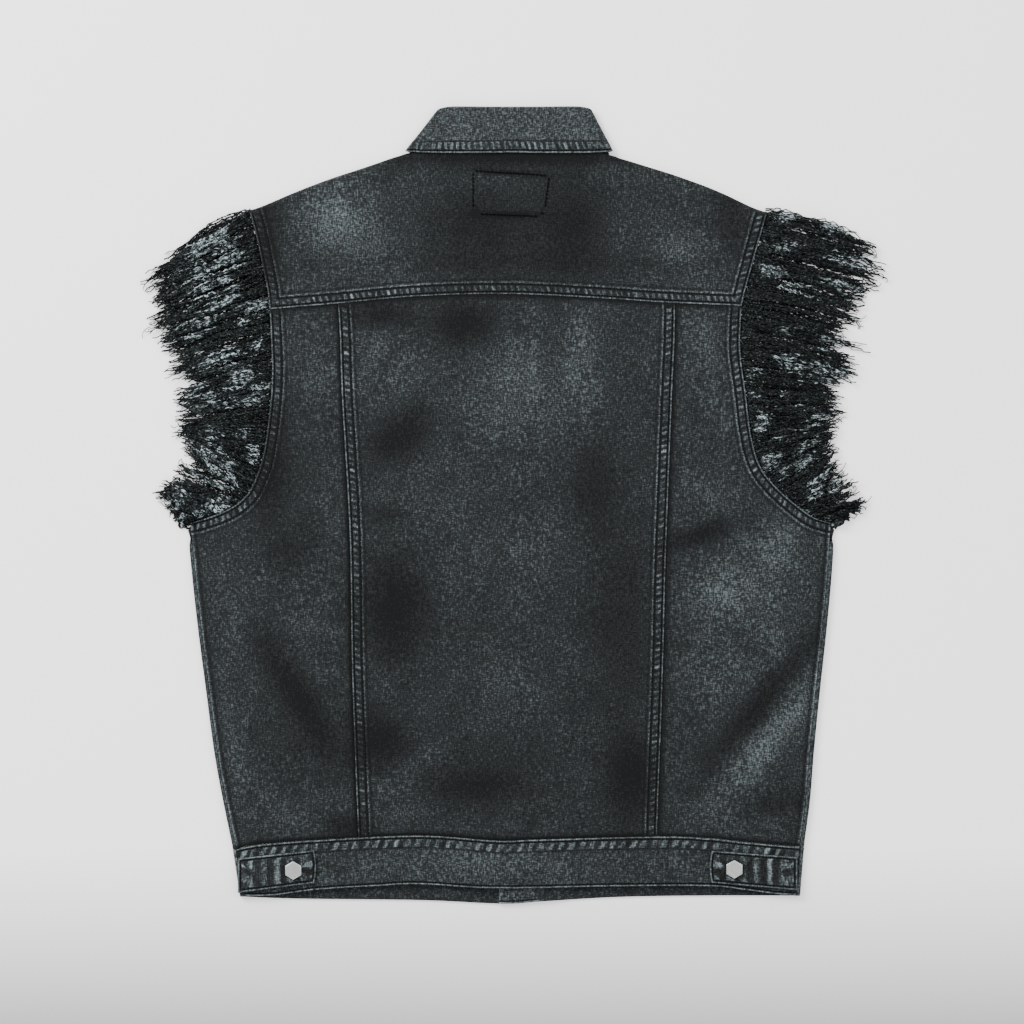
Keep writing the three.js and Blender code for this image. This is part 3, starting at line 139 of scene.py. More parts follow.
# Where the wash has left the cloth lighter or darker, with a painted shadow just below the collar and dark
# lines along the yoke's sewn outline, in the same columns with an amount at the end
WASH_FADES_AND_SHADE = [
    (-152, 247, 0, 28, 26, 0.24), (-113, 217, 0, 46, 30, 0.11), (-28, 234, 0, 52, 34, -0.26),
    (50, 238, 0, 26, 42, -0.28), (137, 217, 0, 21, 14, 0.16), (178, 200, 0, 26, 13, 0.07),
    # the last entry on the next line is a painted shadow just below the collar
    (-211, 226, 0, 12, 50, -0.31), (184, 243, 0, 15, 30, -0.19), (0, 296, 0, 92, 7, -0.47),
    (-113, 162, 0, 28, 11, -0.31), (-41, 153, 0, 26, 18, -0.43), (-105, 115, 0, 34, 28, 0.11),
    (-3, 98, 0, 36, 44, 0.16), (57, 118, 0, 18, 52, 0.15), (-96, 60, 40, 26, 17, -0.41),
    (-71, -4, 0, 36, 26, 0.05), (-109, -8, 0, 15, 9, -0.22), (-101, -89, 0, 26, 42, -0.41),
    (69, 13, 0, 18, 40, -0.22), (92, -89, 0, 30, 76, -0.19), (-11, -38, 100, 20, 62, 0.05),
    (-79, -216, 35, 46, 10, 0.11), (-113, -199, 0, 24, 22, -0.38), (-28, -238, 0, 36, 14, -0.3),
    (99, -233, 0, 19, 36, -0.44), (-11, -157, 0, 30, 30, 0.05), (-88, -250, 0, 20, 12, 0.06),
    (159, 132, 0, 26, 58, 0.09), (167, 13, 0, 24, 20, 0.09), (158, -25, 20, 30, 8, -0.35),
    (182, -72, 15, 38, 28, 0.21), (227, -29, 0, 20, 24, 0.17), (176, -140, 0, 34, 30, 0.11),
    (212, -165, 51, 74, 10, -0.35), (218, -199, 50, 72, 14, 0.23), (226, -252, 0, 26, 13, -0.18),
    (-207, 22, 0, 17, 42, -0.31), (-190, -38, 0, 26, 18, -0.2), (-164, 102, 0, 17, 22, 0.1),
    (-232, -80, 0, 22, 20, 0.07), (-181, -165, -58, 56, 13, -0.36), (-173, -102, -15, 28, 8, 0.1),
    (-241, -182, 97, 60, 9, 0.09), (-205, -250, -25, 32, 12, 0.07), (-139, -272, 0, 18, 8, -0.35),
    (-37, -302, 0, 62, 14, 0.09), (0, 206, 0, 200, 9, -0.09), (-2, 282.4, -4, 34, 2.0, -0.4),
    (-5, 246.6, 0, 28, 2.2, -0.5), (-33, 249, 0, 3, 4, -0.4), (230, -110, 0, 26, 50, 0.07),
    (190, 60, 0, 26, 40, 0.04), (-20, -220, 0, 100, 40, -0.07), (-190, -200, 0, 40, 60, -0.06),
    (-190, 60, 0, 40, 60, -0.04),
]

# Collar from the middle of the back round the neck to a front tip: how far round it has turned,
# then x and y on its folded top, on its lower edge and on the neck seam
COLLAR_HALF = [
    (0, 0, 337.4, 0, 299.6, 0, 302.6), (0, 20, 337.4, 24, 299.2, 22, 302.5),
    (0, 40, 337.6, 48, 299.2, 44, 302.4), (0, 54, 337.6, 68, 299.4, 62, 302.2),
    (0, 61.4, 336.6, 84.4, 300.2, 76, 302), (45, 61.4, 336, 84.4, 300.6, 76, 302),
    (90, 61.4, 335.4, 84.4, 301, 76, 302), (135, 61.4, 334.4, 84.4, 301.6, 76, 302),
    (180, 61.4, 333, 84.4, 301.6, 76, 301.6), (180, 53, 313, 86, 266, 68, 287),
    (180, 40, 283, 76, 230, 52, 259), (180, 27, 252, 64, 200, 36, 234), (180, 13, 229, 53, 178, 20, 216),
]
COLLAR_BACK_STATIONS = 8  # the last station that still lies over the back
COLLAR_SPREAD = {"left": (-1, 1, 1.048), "right": (1, 1.026, 0.957)}
FALL_MIDDLE, FALL_RADIUS, FALL_PLY = 3.7, 3.1, 1.5
COLLAR_LIFT_Y, COLLAR_LIFT_INNER, COLLAR_LIFT_OUTER = 262, 134, 166
COLLAR_BAND_RISE, COLLAR_UNEVEN = 0.42, 0.16
NECK_SIDE = 78
NECK_FRONT_Y = 213.5

# Side panels and fronts
UNDERARM_SHARE = 0.5
PRINCESS_AT_UNDERARM = -58
INSET_DIES_OUT = 8  # the side fold's inset is gone at one part in this many of the armhole
FRONT_UNDERARM = 0.46
ROLL_ENDS = 0.03  # share of the rows in which the roll at the side dies out below the underarm
FRONT_NECK = 0.72
FRONT_ARMHOLE_INSET = 3
SHOULDER_DEPTH = 2.2
SIDES = {
    "left": {"sign": 1, "side": SIDE_LEFT, "armhole": ARMHOLE_LEFT, "yoke": ARMHOLE_LEFT_YOKE,
             "princess": PRINCESS_LEFT, "inset": 3.2, "pale": 1.0, "end": WAIST_END_LEFT},
    "right": {"sign": -1, "side": SIDE_RIGHT, "armhole": ARMHOLE_RIGHT, "yoke": ARMHOLE_RIGHT_YOKE,
              "princess": PRINCESS_RIGHT, "inset": 4, "pale": 0.8, "end": WAIST_END_RIGHT},
}

# Waist tabs: x, top and low at the side seam, then x, top and low at the pointed end
TABS = {
    "left": (-234, -299.4, -328.8, -169, -292.4, -320.4, (-186.9, -309.6)),
    "right": (241, -298.4, -326.6, 168, -292.8, -320.2, (187.4, -308.6)),
}
TAB_THICKNESS, TAB_POINT, TAB_DEPTH = 1.8, 1.6, 28.5
TAB_PILLOW = (-0.75, -0.1, 0.1, 0, -0.4, -0.1, 0.1, 0.25)  # rise at the edge distances, and at 6
TAB_BUTTON = (7.9, 2.1, 6)  # radius, height and sides
TAB_PITCH = 1.1

# Sewn outline on the yoke, with a longer and thicker stitch than elsewhere
PATCH_LENGTH, PATCH_RADIUS = 1.25, 2.2
PATCH_OUTLINE = [(-34.4, 284.3), (30.2, 280.1), (26.4, 250.6), (21.5, 245.6), (-30.2, 247.6), (-34.4, 252.2),
                 (-34.4, 284.3)]

# Fringe tips from the shoulder to the underarm: share along the armhole, x, y
FRINGE_TIPS = {
    "left": [(0, -316, 200), (0.12, -320, 181), (0.25, -316, 158), (0.4, -310, 130), (0.52, -291, 97),
             (0.64, -292, 65), (0.74, -279, 43), (0.82, -308, 23), (0.9, -305, 9), (0.96, -297, -3),
             (1, -286, -11)],
    "right": [(0, 314, 222), (0.1, 319, 199), (0.25, 304, 174), (0.4, 299, 134), (0.5, 300, 111),
              (0.6, 286, 88), (0.7, 279, 56), (0.8, 279, 34), (0.87, 294, 15), (0.93, 301, 2), (1, 284, -10)],
}

# Lengths that the even steps of each grid fill
YOKE_WIDE, YOKE_HIGH = 385, 100
CENTRE_WIDE, CENTRE_HIGH = 245, 457
SIDE_WIDE, SIDE_HALF_HIGH = 120, 250
WAIST_WIDE, WAIST_FRONT_WIDE = 470, 190
COLLAR_LONG = 640
FRONT_WIDE, FRONT_HIGH = 200, 560
PLACKET_HIGH = 495
TAB_WIDE, TAB_HIGH = 58, 22

# Shade and wear beside edges: distance from the edge, spread and amount
TUCK_ABOVE, TUCK_BELOW, TUCK_BESIDE = (0, 2.4, -0.5), (0, 2.4, -0.55), (0, 2.6, -0.5)
SIDE_WORN, SIDE_DARK = (0.4, 1.1, 0.34), (3.4, 1.2, -0.25)
WAIST_SIDE_WORN, CLOSING_WORN = (2.2, 2.2, 0.3), (0.7, 1.3, 0.4)
BUTTON_SHADE = (0, 8, -0.30)
FOLD_WORN = 0.16
COLLAR_PALE, COLLAR_TONE = 0.07, 0.04
COLLAR_TOP_WORN, COLLAR_TOP_ENDS = 0.3, 120  # worn as far as this many degrees round the top
WAISTBAND_TONE, WAIST_FRONT_TONE, CLOSING_TONE = 0.02, -0.06, 0.14
# the tabs take this share of the wash's fades and painted shade
TAB_TONE, TAB_FADES_AND_SHADE = 0.03, 0.4

# How drawn out the roping is along these seams
WAIST_ROPING, TAB_ROPING = 0.6, 0.45
PUCKER = (5, 9, 0.13)

# Columns across a folded seam: distance from its edge, and the height of the cloth there over the ply
BAND = [(0, 0.35), (0.5, 0.95), (1.2, 1.0), (1.8, 0.9), (2.3, 0.62), (2.9, 0.85), (3.6, 1.0), (4.8, 1.05),
        (6, 1.05), (7.2, 1.0), (8.2, 0.9), (9.1, 0.6), (9.7, 0.72), (10.3, 0.7), (11.2, 0.35), (12.2, 0.1),
        (13.5, 0)]
BAND_DISTANCES = np.array([row[0] for row in BAND])
BAND_HEIGHTS = np.array([row[1] for row in BAND])
STITCH_LINES = (2.3, 9.1)
EDGE_DISTANCES = np.array([0, 0.5, 1.2, 1.8, 2.3, 2.9, 3.6])
PLAIN = np.array([0.0])

# Hem that is turned in: distance from its edge, and the share of its extra height there
HEM_DISTANCES = (0, 0.5, 1.2, 2.3, 3.6)
HEM_SHARES, HEM_FRONT_SHARES = (0.2, 0.9, 1, 0.5, 0), (0, 0.9, 1, 0.5, 0)
HEM_RISE, HEM_FRONT_RISE = 0.5, 0.45


class ClothSizes(bpy.types.PropertyGroup):
    """Fineness of the cloth and size of its sewing."""
    pitch: FloatProperty(name="Cloth pitch", description="Step of the cloth's grid", default=0.0027,
                         unit="LENGTH", precision=4)
    hidden_pitch: FloatProperty(name="Hidden pitch", description="Step of the grid on hidden cloth",
                                default=0.0056, unit="LENGTH", precision=4)
    stitch_pitch: FloatProperty(name="Stitch pitch", description="Distance from stitch to stitch",
                                default=0.0032, unit="LENGTH", precision=4)
    stitch_length: FloatProperty(name="Stitch length", description="Length of one stitch that shows",
                                 default=0.0023, unit="LENGTH", precision=4)
    thread_radius: FloatProperty(name="Thread radius", description="Half the thickness of the thread",
                                 default=0.0003, unit="LENGTH", precision=5)


class FringeSizes(bpy.types.PropertyGroup):
    """Locks and yarns of the frayed armholes."""
    locks: IntProperty(name="Locks", description="Locks on each back armhole", default=104)
    hidden_locks: IntProperty(name="Hidden locks", description="Locks on each front armhole", default=96)
    yarns: IntProperty(name="Yarns", description="Yarns in a lock", default=7)
    steps: IntProperty(name="Steps", description="Steps along a yarn", default=32)
    yarn_radius: FloatProperty(name="Yarn radius", description="Half the thickness of a yarn",
                               default=0.00074, unit="LENGTH", precision=5)
    lock_radius: FloatProperty(name="Lock radius", description="From a lock's middle to its yarns",
                               default=0.0023, unit="LENGTH", precision=5)
    turn: FloatProperty(name="Twist", description="Length of lock in which its yarns turn once round",
                        default=0.0090, unit="LENGTH", precision=4)


def colour(name, description, value):
    """A colour that a user may change."""
    return FloatVectorProperty(name=name, description=description, default=value, size=4, subtype="COLOR",
                               min=0, max=1)


class VestColours(bpy.types.PropertyGroup):
    """Colours of the cloth, yarn and metal."""
    # also the colour that painted shade darkens the cloth towards: in the grooves, below the collar and in
    # the creases' hollows
    denim_dark: colour("Denim, unfaded", "Colour in grooves and folds", (0.0015, 0.0019, 0.0021, 1))
    denim_mid: colour("Denim", "Colour of the washed cloth", (0.0118, 0.0140, 0.0150, 1))
    denim_pale: colour("Denim, worn", "Colour of worn edges", (0.165, 0.200, 0.212, 1))
    thread: colour("Thread", "Colour of the sewing", (0.0008, 0.0010, 0.0011, 1))
    yarn_dark: colour("Yarn", "Colour of the dyed yarns", (0.0006, 0.0008, 0.0009, 1))
    yarn_pale: colour("Yarn core", "Colour of the undyed cores", (0.46, 0.55, 0.57, 1))
    metal: colour("Buttons", "Colour of the satin metal", (0.46, 0.47, 0.465, 1))
    floor: colour("Floor", "Colour of the surface", (0.96, 0.96, 0.96, 1))


# Curves and grids


def ease(value):
    """A smooth step from 0 to 1."""
    value = np.clip(value, 0, 1)
    return value * value * (3 - 2 * value)


def mix(start, end, share):
    return start + (end - start) * share


def unit(vectors):
    return vectors / np.linalg.norm(vectors, axis=-1, keepdims=True)


def swell(distance, middle, spread, amount):
    """An amount that is full at one distance and dies away on both sides of it."""
    return amount * np.exp(-((distance - middle) / spread) ** 2)


def travelled(places):
    """Distance along a line at each of its places."""
    return np.concatenate([[0], np.cumsum(np.linalg.norm(np.diff(places, axis=0), axis=1))])


def between(wanted, known, places):
    """Places at the wanted distances of a line that is given at known ones."""
    return np.stack([np.interp(wanted, known, column) for column in places.T], -1)


def beside(line, inset):
    """A line moved sideways, to the right of the way it runs."""
    step = unit(np.gradient(line, axis=0))
    return line + np.stack([step[:, 1], -step[:, 0]], -1) * inset


def steady(value):
    """An edge that keeps one place x, or a line that keeps one height y."""
    return lambda other: np.full(np.shape(other), float(value))


def curve(rows):
    """A smooth line through places, as a function of a share from 0 to 1."""
    places = np.asarray(rows, float)
    count = len(places)

    def at(share):
        position = (count - 1) * np.clip(np.asarray(share, float), 0, 1)
        index = np.minimum(position.astype(int), count - 1)
        step = (position - index)[..., None]
        before = places[np.maximum(index - 1, 0)]
        start = places[index]
        end = places[np.where(index > count - 2, count - 1, index + 1)]
        after = places[np.where(index > count - 3, count - 1, index + 2)]
        leave = (end - before) / 2
        arrive = (after - start) / 2
        return ((2 * start - 2 * end + leave + arrive) * step ** 3
                + (3 * end - 3 * start - 2 * leave - arrive) * step ** 2 + leave * step + start)

    return at


def dense(rows):
    return curve(rows)(np.linspace(0, 1, len(rows) * 24 + 1))


def line_through(rows, shift=0.0):
    """Height y of a line above a place x."""
    places = dense(sorted(rows))
    return lambda x: np.interp(x, places[:, 0], places[:, 1]) + shift


def x_at_height(rows):
    """Place x of an upright edge at a height y."""
    places = dense(sorted(rows, key=lambda row: row[1]))
    return lambda y: np.interp(y, places[:, 1], places[:, 0])


def along_curve(rows):
    """Place at a share of a line's length."""
    places = curve(rows)(np.linspace(0, 1, 401))
    lengths = travelled(places)
    return lambda share: between(share, lengths / lengths[-1], places)


def mirrored(rows, sign):
    return [(row[0] * sign, row[1]) for row in rows]


def stations(steps, start=PLAIN, end=PLAIN):
    """Fixed distances at both ends and even steps between, each an offset and a share of the whole."""
    even = np.linspace(0, 1, steps + 1)
    offset = np.concatenate([start[:-1], start[-1] * (1 - even) - end[-1] * even, -end[:-1][::-1]])
    share = np.concatenate([np.zeros(len(start) - 1), even, np.ones(len(end) - 1)])
    return offset, share


# Heights of the plies


def folds(table, x, y):
    """Sum of the soft ridges and hollows of a table."""
    height = np.zeros(np.broadcast(x, y).shape)
    for middle_x, middle_y, degrees, length, width, rise in table:
        angle = math.radians(degrees)
        along = (x - middle_x) * math.cos(angle) + (y - middle_y) * math.sin(angle)
        across = (y - middle_y) * math.cos(angle) - (x - middle_x) * math.sin(angle)
        height += rise * np.exp(-((along / length) ** 2) - (across / width) ** 2)
    return height


def back_level(x, y):
    """Middle of the back's ply, as on the solids."""
    crown = BACK_CROWN * np.maximum(0, 1 - (x / HALF_GIRTH) ** 2)
    over_placket = ease((PLACKET_TOP + 30 - y) / 30)
    closing = PLACKET_CROWN * over_placket * np.exp(-(((x - CLOSING_X) / PLACKET_RISE_WIDTH) ** 2))
    return BACK_EDGE + crown + closing + folds(CREASES, x, y)


def ripple(x, y):
    """Shallow unevenness of washed cloth."""
    waves = np.sin(x / 9.1 + 2.1 * np.sin(y / 31)) * np.sin(y / 12.7 + 1.7 * np.sin(x / 27))
    return 0.10 * waves + 0.09 * np.sin(x / 17.3 - y / 14.1 + np.sin(y / 40))


def back_height(x, y):
    return back_level(x, y) + folds(WRINKLES, x, y) + ripple(x, y)


def collar_lift(x, y):
    reach = np.hypot(x - CLOSING_X / 2, y - COLLAR_LIFT_Y)
    return PLY_STEP * ease((COLLAR_LIFT_OUTER - reach) / (COLLAR_LIFT_OUTER - COLLAR_LIFT_INNER))


def button_tent(x, y):
    near = np.min([np.hypot(x - CLOSING_X, y - row) for row in BUTTON_ROWS], axis=0)
    return BUTTON_LIFT * ease((BUTTON_TENT - near + BUTTON_RADIUS) / (BUTTON_TENT - BUTTON_LEVEL))


def over_height(x, y):
    return FLOOR_PLY + np.maximum(collar_lift(x, y), button_tent(x, y))


def under_height(x, y):
    return over_height(x, y) + PLY_STEP


def front_left_height(x, y):
    return FLOOR_PLY + collar_lift(x, y)


def front_right_height(x, y):
    return FLOOR_PLY + collar_lift(x, y) + PLY_STEP * ease((PLACKET_RIGHT + RAMP - x) / RAMP)


def waist_right_height(x, y):
    return over_height(x, y) + WAIST_PLY_STEP * ease((PLACKET_RIGHT + RAMP - x) / RAMP)


def band_rise(distance):
    return FELL_RISE * np.interp(distance, BAND_DISTANCES, BAND_HEIGHTS)


def pucker(along, distance):
    """Cloth drawn up unevenly along a seam."""
    waves = np.sin(along / 1.83 + 1.3 * np.sin(along / 9)) + np.sin(along / 2.9 + 2)
    return waves * swell(distance, *PUCKER)


def fades_and_painted_shade(x, y):
    """How much paler or darker than plain a place is: the wash's fades, a painted shadow below the collar,
    and painted light on the wrinkles' ridges with painted shade in their hollows.
    """
    # a tenth of the wrinkles' heights: painted light on their ridges and painted shade in their hollows
    return 0.10 * folds(WRINKLES, x, y) + folds(WASH_FADES_AND_SHADE, x, y)


# Meshes


SEWING = []  # lines of stitches, filled in by the pieces


def rim_and_faces(rows, columns):
    """Four-sided faces of a wall: its two faces and the rim that closes them."""
    under = rows * columns
    index = np.arange(under).reshape(rows, columns)
    a, b, c, d = index[:-1, :-1], index[:-1, 1:], index[1:, 1:], index[1:, :-1]
    loop = np.concatenate([index[0, :-1], index[:-1, -1], index[-1, :0:-1], index[:0:-1, 0]])
    after = np.roll(loop, -1)
    sides = ((a, b, c, d), (a + under, d + under, c + under, b + under),
             (after, loop, loop + under, after + under))
    return np.concatenate([np.stack(corners, -1).reshape(-1, 4) for corners in sides])


def mesh_object(name, points, faces, attributes):
    """An object from points in millimetres and faces of equal size."""
    points = np.asarray(points, float) * MM
    a, b, c = points[faces[:, 0]], points[faces[:, 1]], points[faces[:, 2]]
    volume = np.einsum("ij,ij->i", a, np.cross(b, c)).sum()
    if faces.shape[1] == 4:
        d = points[faces[:, 3]]
        volume += np.einsum("ij,ij->i", a, np.cross(c, d)).sum()
    if volume < 0:
        faces = faces[:, ::-1]
    mesh = bpy.data.meshes.new(name)
    mesh.vertices.add(len(points))
    mesh.vertices.foreach_set("co", points.ravel())
    mesh.loops.add(faces.size)
    mesh.loops.foreach_set("vertex_index", faces.ravel().astype(np.int32))
    mesh.polygons.add(len(faces))
    mesh.polygons.foreach_set("loop_start", np.arange(0, faces.size, faces.shape[1], dtype=np.int32))
    mesh.polygons.foreach_set("use_smooth", np.ones(len(faces), bool))
    mesh.update(calc_edges=True)
    for label, values in attributes.items():
        values = np.asarray(values, np.float32)
        kind = "FLOAT_VECTOR" if values.ndim == 2 else "FLOAT"
        layer = mesh.attributes.new(label, kind, "POINT")
        layer.data.foreach_set("vector" if values.ndim == 2 else "value", values.ravel())
    mesh.validate()
    piece = bpy.data.objects.new(name, mesh)
    bpy.context.scene.collection.objects.link(piece)
    return piece


def wall(name, outer, inner, along, distance, tone, lapped=1.0):
    """A closed wall of cloth from a grid of places on both of its faces. lapped marks a felled seam."""
    rows, columns = outer.shape[:2]
    seam = np.stack([along, distance, np.full(along.shape, lapped)], -1).reshape(-1, 3)
    hidden = seam.copy()
    hidden[:, 1] = NO_SEAM
    points = np.concatenate([outer.reshape(-1, 3), inner.reshape(-1, 3)])
    values = {"seam": np.concatenate([seam, hidden]), "tone": np.concatenate([tone.ravel(), tone.ravel()])}
    return mesh_object(name, points, rim_and_faces(rows, columns), values)


def plies(x, y, middle, rise=0.0):
    """Both faces of cloth at a height of its middle, with extra plies over it."""
    return np.stack([x, y, middle + HALF + rise], -1), np.stack([x, y, middle - HALF], -1)


def lying(name, x, y, middle, rise, along, distance, tone, lapped=1.0):
    """A wall that lies at a height of its middle, and its outer face."""
    outer, inner = plies(x, y, middle, rise)
    return wall(name, outer, inner, along, distance, tone, lapped), outer


def dress(piece, node, material):
    """Gives a sheet of cloth its finish, hangs it from the root and hides the solid that it is cut from."""
    settle(piece, material, "denim", node)


def settle(piece, material, slot, *nodes):
    """Gives a piece its finish, hangs it from the root and hides the solids that it stands for."""
    piece.data.materials.clear()
    piece.data.materials.append(material)
    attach(piece, "root")
    if nodes:
        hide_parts(*nodes)


# Back


def level_grid(left, right, lower, upper, rows, columns):
    """Places of a piece whose rows are drawn between two lines, and its distances from the four edges."""
    row_offset, row_share = rows
    column_offset, column_share = columns

    def height(x):
        low, high = lower(x), upper(x)
        shape = (len(row_offset),) + (1,) * (np.ndim(x) - 1)
        return low + row_offset.reshape(shape) + row_share.reshape(shape) * (high - low)

    start = np.full(len(row_offset), float(left(0)))
    end = np.full(len(row_offset), float(right(0)))
    for _ in range(8):
        start = left(height(start))
        end = right(height(end))
    x = start[:, None] + column_offset + column_share * (end - start)[:, None]
    y = height(x)
    edges = (x - start[:, None], end[:, None] - x, y - lower(x), upper(x) - y)
    return x, y, edges


def sew(points, columns=(), rows=(), start=0, end=None):
    """Keeps lines of stitches that run along columns or rows of a grid."""
    SEWING.extend(points[start:end, index] for index in columns)
    SEWING.extend(points[index, start:end] for index in rows)


def stitch_columns(distances):
    """Columns of a grid that are nearest to the lines of stitches."""
    return [int(np.argmin(abs(distances - line))) for line in STITCH_LINES if line <= distances[-1]]


SHOULDER_LEFT, SHOULDER_RIGHT, SHOULDER_EASE = 86, 80, 10  # where the fold starts, and how gradually
SHOULDER_STEPS = 4


def shoulder_turn(x, y, height, way):
    """Places that carry a wall over the shoulder fold, from its last row."""
    direction = unit(np.stack([np.gradient(x), np.gradient(y)], -1))
    direction *= np.where(direction[:, :1] < 0, -1, 1)
    out_x, out_y = -direction[:, 1], direction[:, 0]
    weight = ease(np.where(x < 0, -x - SHOULDER_LEFT, x - SHOULDER_RIGHT) / SHOULDER_EASE)
    middle = height(x, y)
    radius = (back_level(x, y) - front_left_height(x, y)) / 2
    outer, inner = [], []
    for turn in np.linspace(0, 90, SHOULDER_STEPS + 1)[1:]:
        angle = np.radians(turn) * weight
        flat = SHOULDER_DEPTH * (turn / 90) * (1 - weight)
        seam = (SEAM_GAP / 2) * weight if turn == 90 else 0
        for skin, faces in ((HALF, outer), (-HALF, inner)):
            reach = flat + (radius + skin) * np.sin(angle)
            rise = radius - (radius + skin) * np.cos(angle) - seam
            faces.append(np.stack([x + out_x * reach, y + out_y * reach, middle + way * rise], -1))
    return np.array(outer), np.array(inner)


def yoke_piece(pitch):
    lower = line_through(YOKE_SEAM, SEAM_GAP)
    upper = line_through(NECK_AND_SHOULDERS, -SHOULDER_DEPTH)
    x, y, edges = level_grid(
        x_at_height(ARMHOLE_LEFT_YOKE), x_at_height(ARMHOLE_RIGHT_YOKE), lower, upper,
        stations(round(YOKE_HIGH / pitch), BAND_DISTANCES),
        stations(round(YOKE_WIDE / pitch), BAND_DISTANCES, BAND_DISTANCES))
    side = np.minimum(edges[0], edges[1])
    distance = np.minimum(side, edges[2])
    along = np.where(side < edges[2], y, x)
    rise = np.maximum(band_rise(side), band_rise(edges[2])) + pucker(along, distance)
    rise *= ease(edges[3] / 3)
    outer, inner = plies(x, y, mix(back_level(x, y), back_height(x, y), ease(edges[3] / 12)), rise)
    over, under = shoulder_turn(x[-1], y[-1], back_level, -1)
    tone = fades_and_painted_shade(x, y)
    tone = np.vstack([tone, np.repeat(tone[-1:], len(over), 0)])
    far = np.full((len(over), x.shape[1]), NO_SEAM)
    piece = wall("yoke", np.concatenate([outer, over]), np.concatenate([inner, under]),
                 np.vstack([along, far]), np.vstack([distance, far]), tone)
    columns = stitch_columns(BAND_DISTANCES)
    sew(outer, columns=columns + [x.shape[1] - 1 - index for index in columns], start=12)
    sew(outer, rows=columns, start=5, end=-5)
    return piece


def centre_piece(pitch):
    lower = line_through(WAIST_SEAM, SEAM_GAP)
    upper = line_through(YOKE_SEAM)
    x, y, edges = level_grid(
        x_at_height(PRINCESS_LEFT), x_at_height(PRINCESS_RIGHT), lower, upper,
        stations(round(CENTRE_HIGH / pitch)),
        stations(round(CENTRE_WIDE / pitch), BAND_DISTANCES, BAND_DISTANCES))
    distance = np.minimum(edges[0], edges[1])
    seams = np.minimum(distance, np.minimum(edges[2], edges[3]) + 12)
    rise = band_rise(distance) + pucker(y, distance) + pucker(x, edges[3]) + pucker(x, edges[2])
    tone = fades_and_painted_shade(x, y) + tuck(edges[2], edges[3])
    piece, outer = lying("middle_back", x, y, back_height(x, y), rise, y, seams, tone)
    columns = stitch_columns(BAND_DISTANCES)
    sew(outer, columns=columns + [x.shape[1] - 1 - index for index in columns])
    return piece


def on_back(spots, rise=0.0):
    """Places (x, y) with the height of the back's outer face there."""
    return np.column_stack([spots, back_height(spots[:, 0], spots[:, 1]) + HALF + rise])


def tuck(foot, top):
    """Shade where a piece goes in under the seams below and above it."""
    return swell(top, *TUCK_ABOVE) + swell(foot, *TUCK_BELOW)


def side_then_armhole(side, armhole, inset, low, high_line, shares):
    """Outer edge of a panel: up the side seam, then round the armhole."""
    side_y = mix(low, armhole[0][1], np.clip(shares / UNDERARM_SHARE, 0, 1))
    places = np.stack([x_at_height(side)(side_y) + inset, side_y], -1)
    arm_share = np.clip((shares - UNDERARM_SHARE) / (1 - UNDERARM_SHARE), 0, 1)
    on_arm = along_curve(armhole)(arm_share)
    on_arm[:, 0] += inset * (1 - ease(arm_share * INSET_DIES_OUT))
    upper = shares > UNDERARM_SHARE
    places[upper] = on_arm[upper]
    places[-1, 1] = high_line(places[-1, 0])
    return places


TURN_SPREAD = 0.045  # share of the rows over which the columns turn at the underarm


def slanted_grid(lefts, rights, lower, upper, shares, start, columns, end=PLAIN):
    """Places of a piece whose edges slant: near a folded edge the columns keep their distance from it."""

    def inward(points, turn):
        step = unit(np.diff(points, axis=0))
        along = unit(np.vstack([step[:1], step[:-1] + step[1:], step[-1:]]))
        normal = np.stack([along[:, 1] * turn, -along[:, 0] * turn], -1)
        for row, edge in ((0, lower), (-1, upper)):
            x = points[row, 0]
            normal[row] = unit(np.array([turn, edge(x + turn) - edge(x)]))
        row = np.arange(len(points))
        near = np.exp(-((row[:, None] - row) / (TURN_SPREAD * len(row))) ** 2)
        eased = near @ normal
        eased[0], eased[-1] = normal[0], normal[-1]
        return unit(eased)

    first = lefts[:, None] + inward(lefts, 1)[:, None] * start[None, :, None]
    last = rights[:, None] + inward(rights, -1)[:, None] * end[::-1][None, :, None]
    even = np.linspace(0, 1, columns + 1)[None, 1:-1, None]
    places = np.concatenate([first, first[:, -1:] * (1 - even) + last[:, :1] * even, last], axis=1)
    x, y = places[..., 0], places[..., 1].copy()

    def bow(edge, row):
        inside = np.clip(x, lefts[row, 0], rights[row, 0])
        share = np.clip((x - lefts[row, 0]) / (rights[row, 0] - lefts[row, 0]), 0, 1)
        return edge(inside) - mix(lefts[row, 1], rights[row, 1], share)

    y += bow(lower, 0) * (1 - shares[:, None]) + bow(upper, -1) * shares[:, None]
    y[0] = lower(x[0])
    y[-1] = upper(x[-1])
    return x, y


PAST_UNDERARM = 16  # how far the armhole's line is drawn on past the side seam


def from_armhole(x, y, which):
    """Distance of places from the armhole's edge, drawn on past the side seam, and the place along it."""
    line = along_curve(which["armhole"])(np.linspace(0, 1, 500))
    ahead = line[0] + unit(line[0] - line[4]) * np.linspace(PAST_UNDERARM, 0.5, 30)[:, None]
    line = np.concatenate([ahead, line])
    travel = travelled(line)
    distance = np.full(x.shape, NO_SEAM)
    along = np.zeros(x.shape)
    for row in range(len(x)):
        away = np.hypot(x[row][:, None] - line[:, 0], y[row][:, None] - line[:, 1])
        distance[row] = np.minimum(away.min(axis=1), NO_SEAM)
        along[row] = travel[np.argmin(away, axis=1)]
    return distance, along


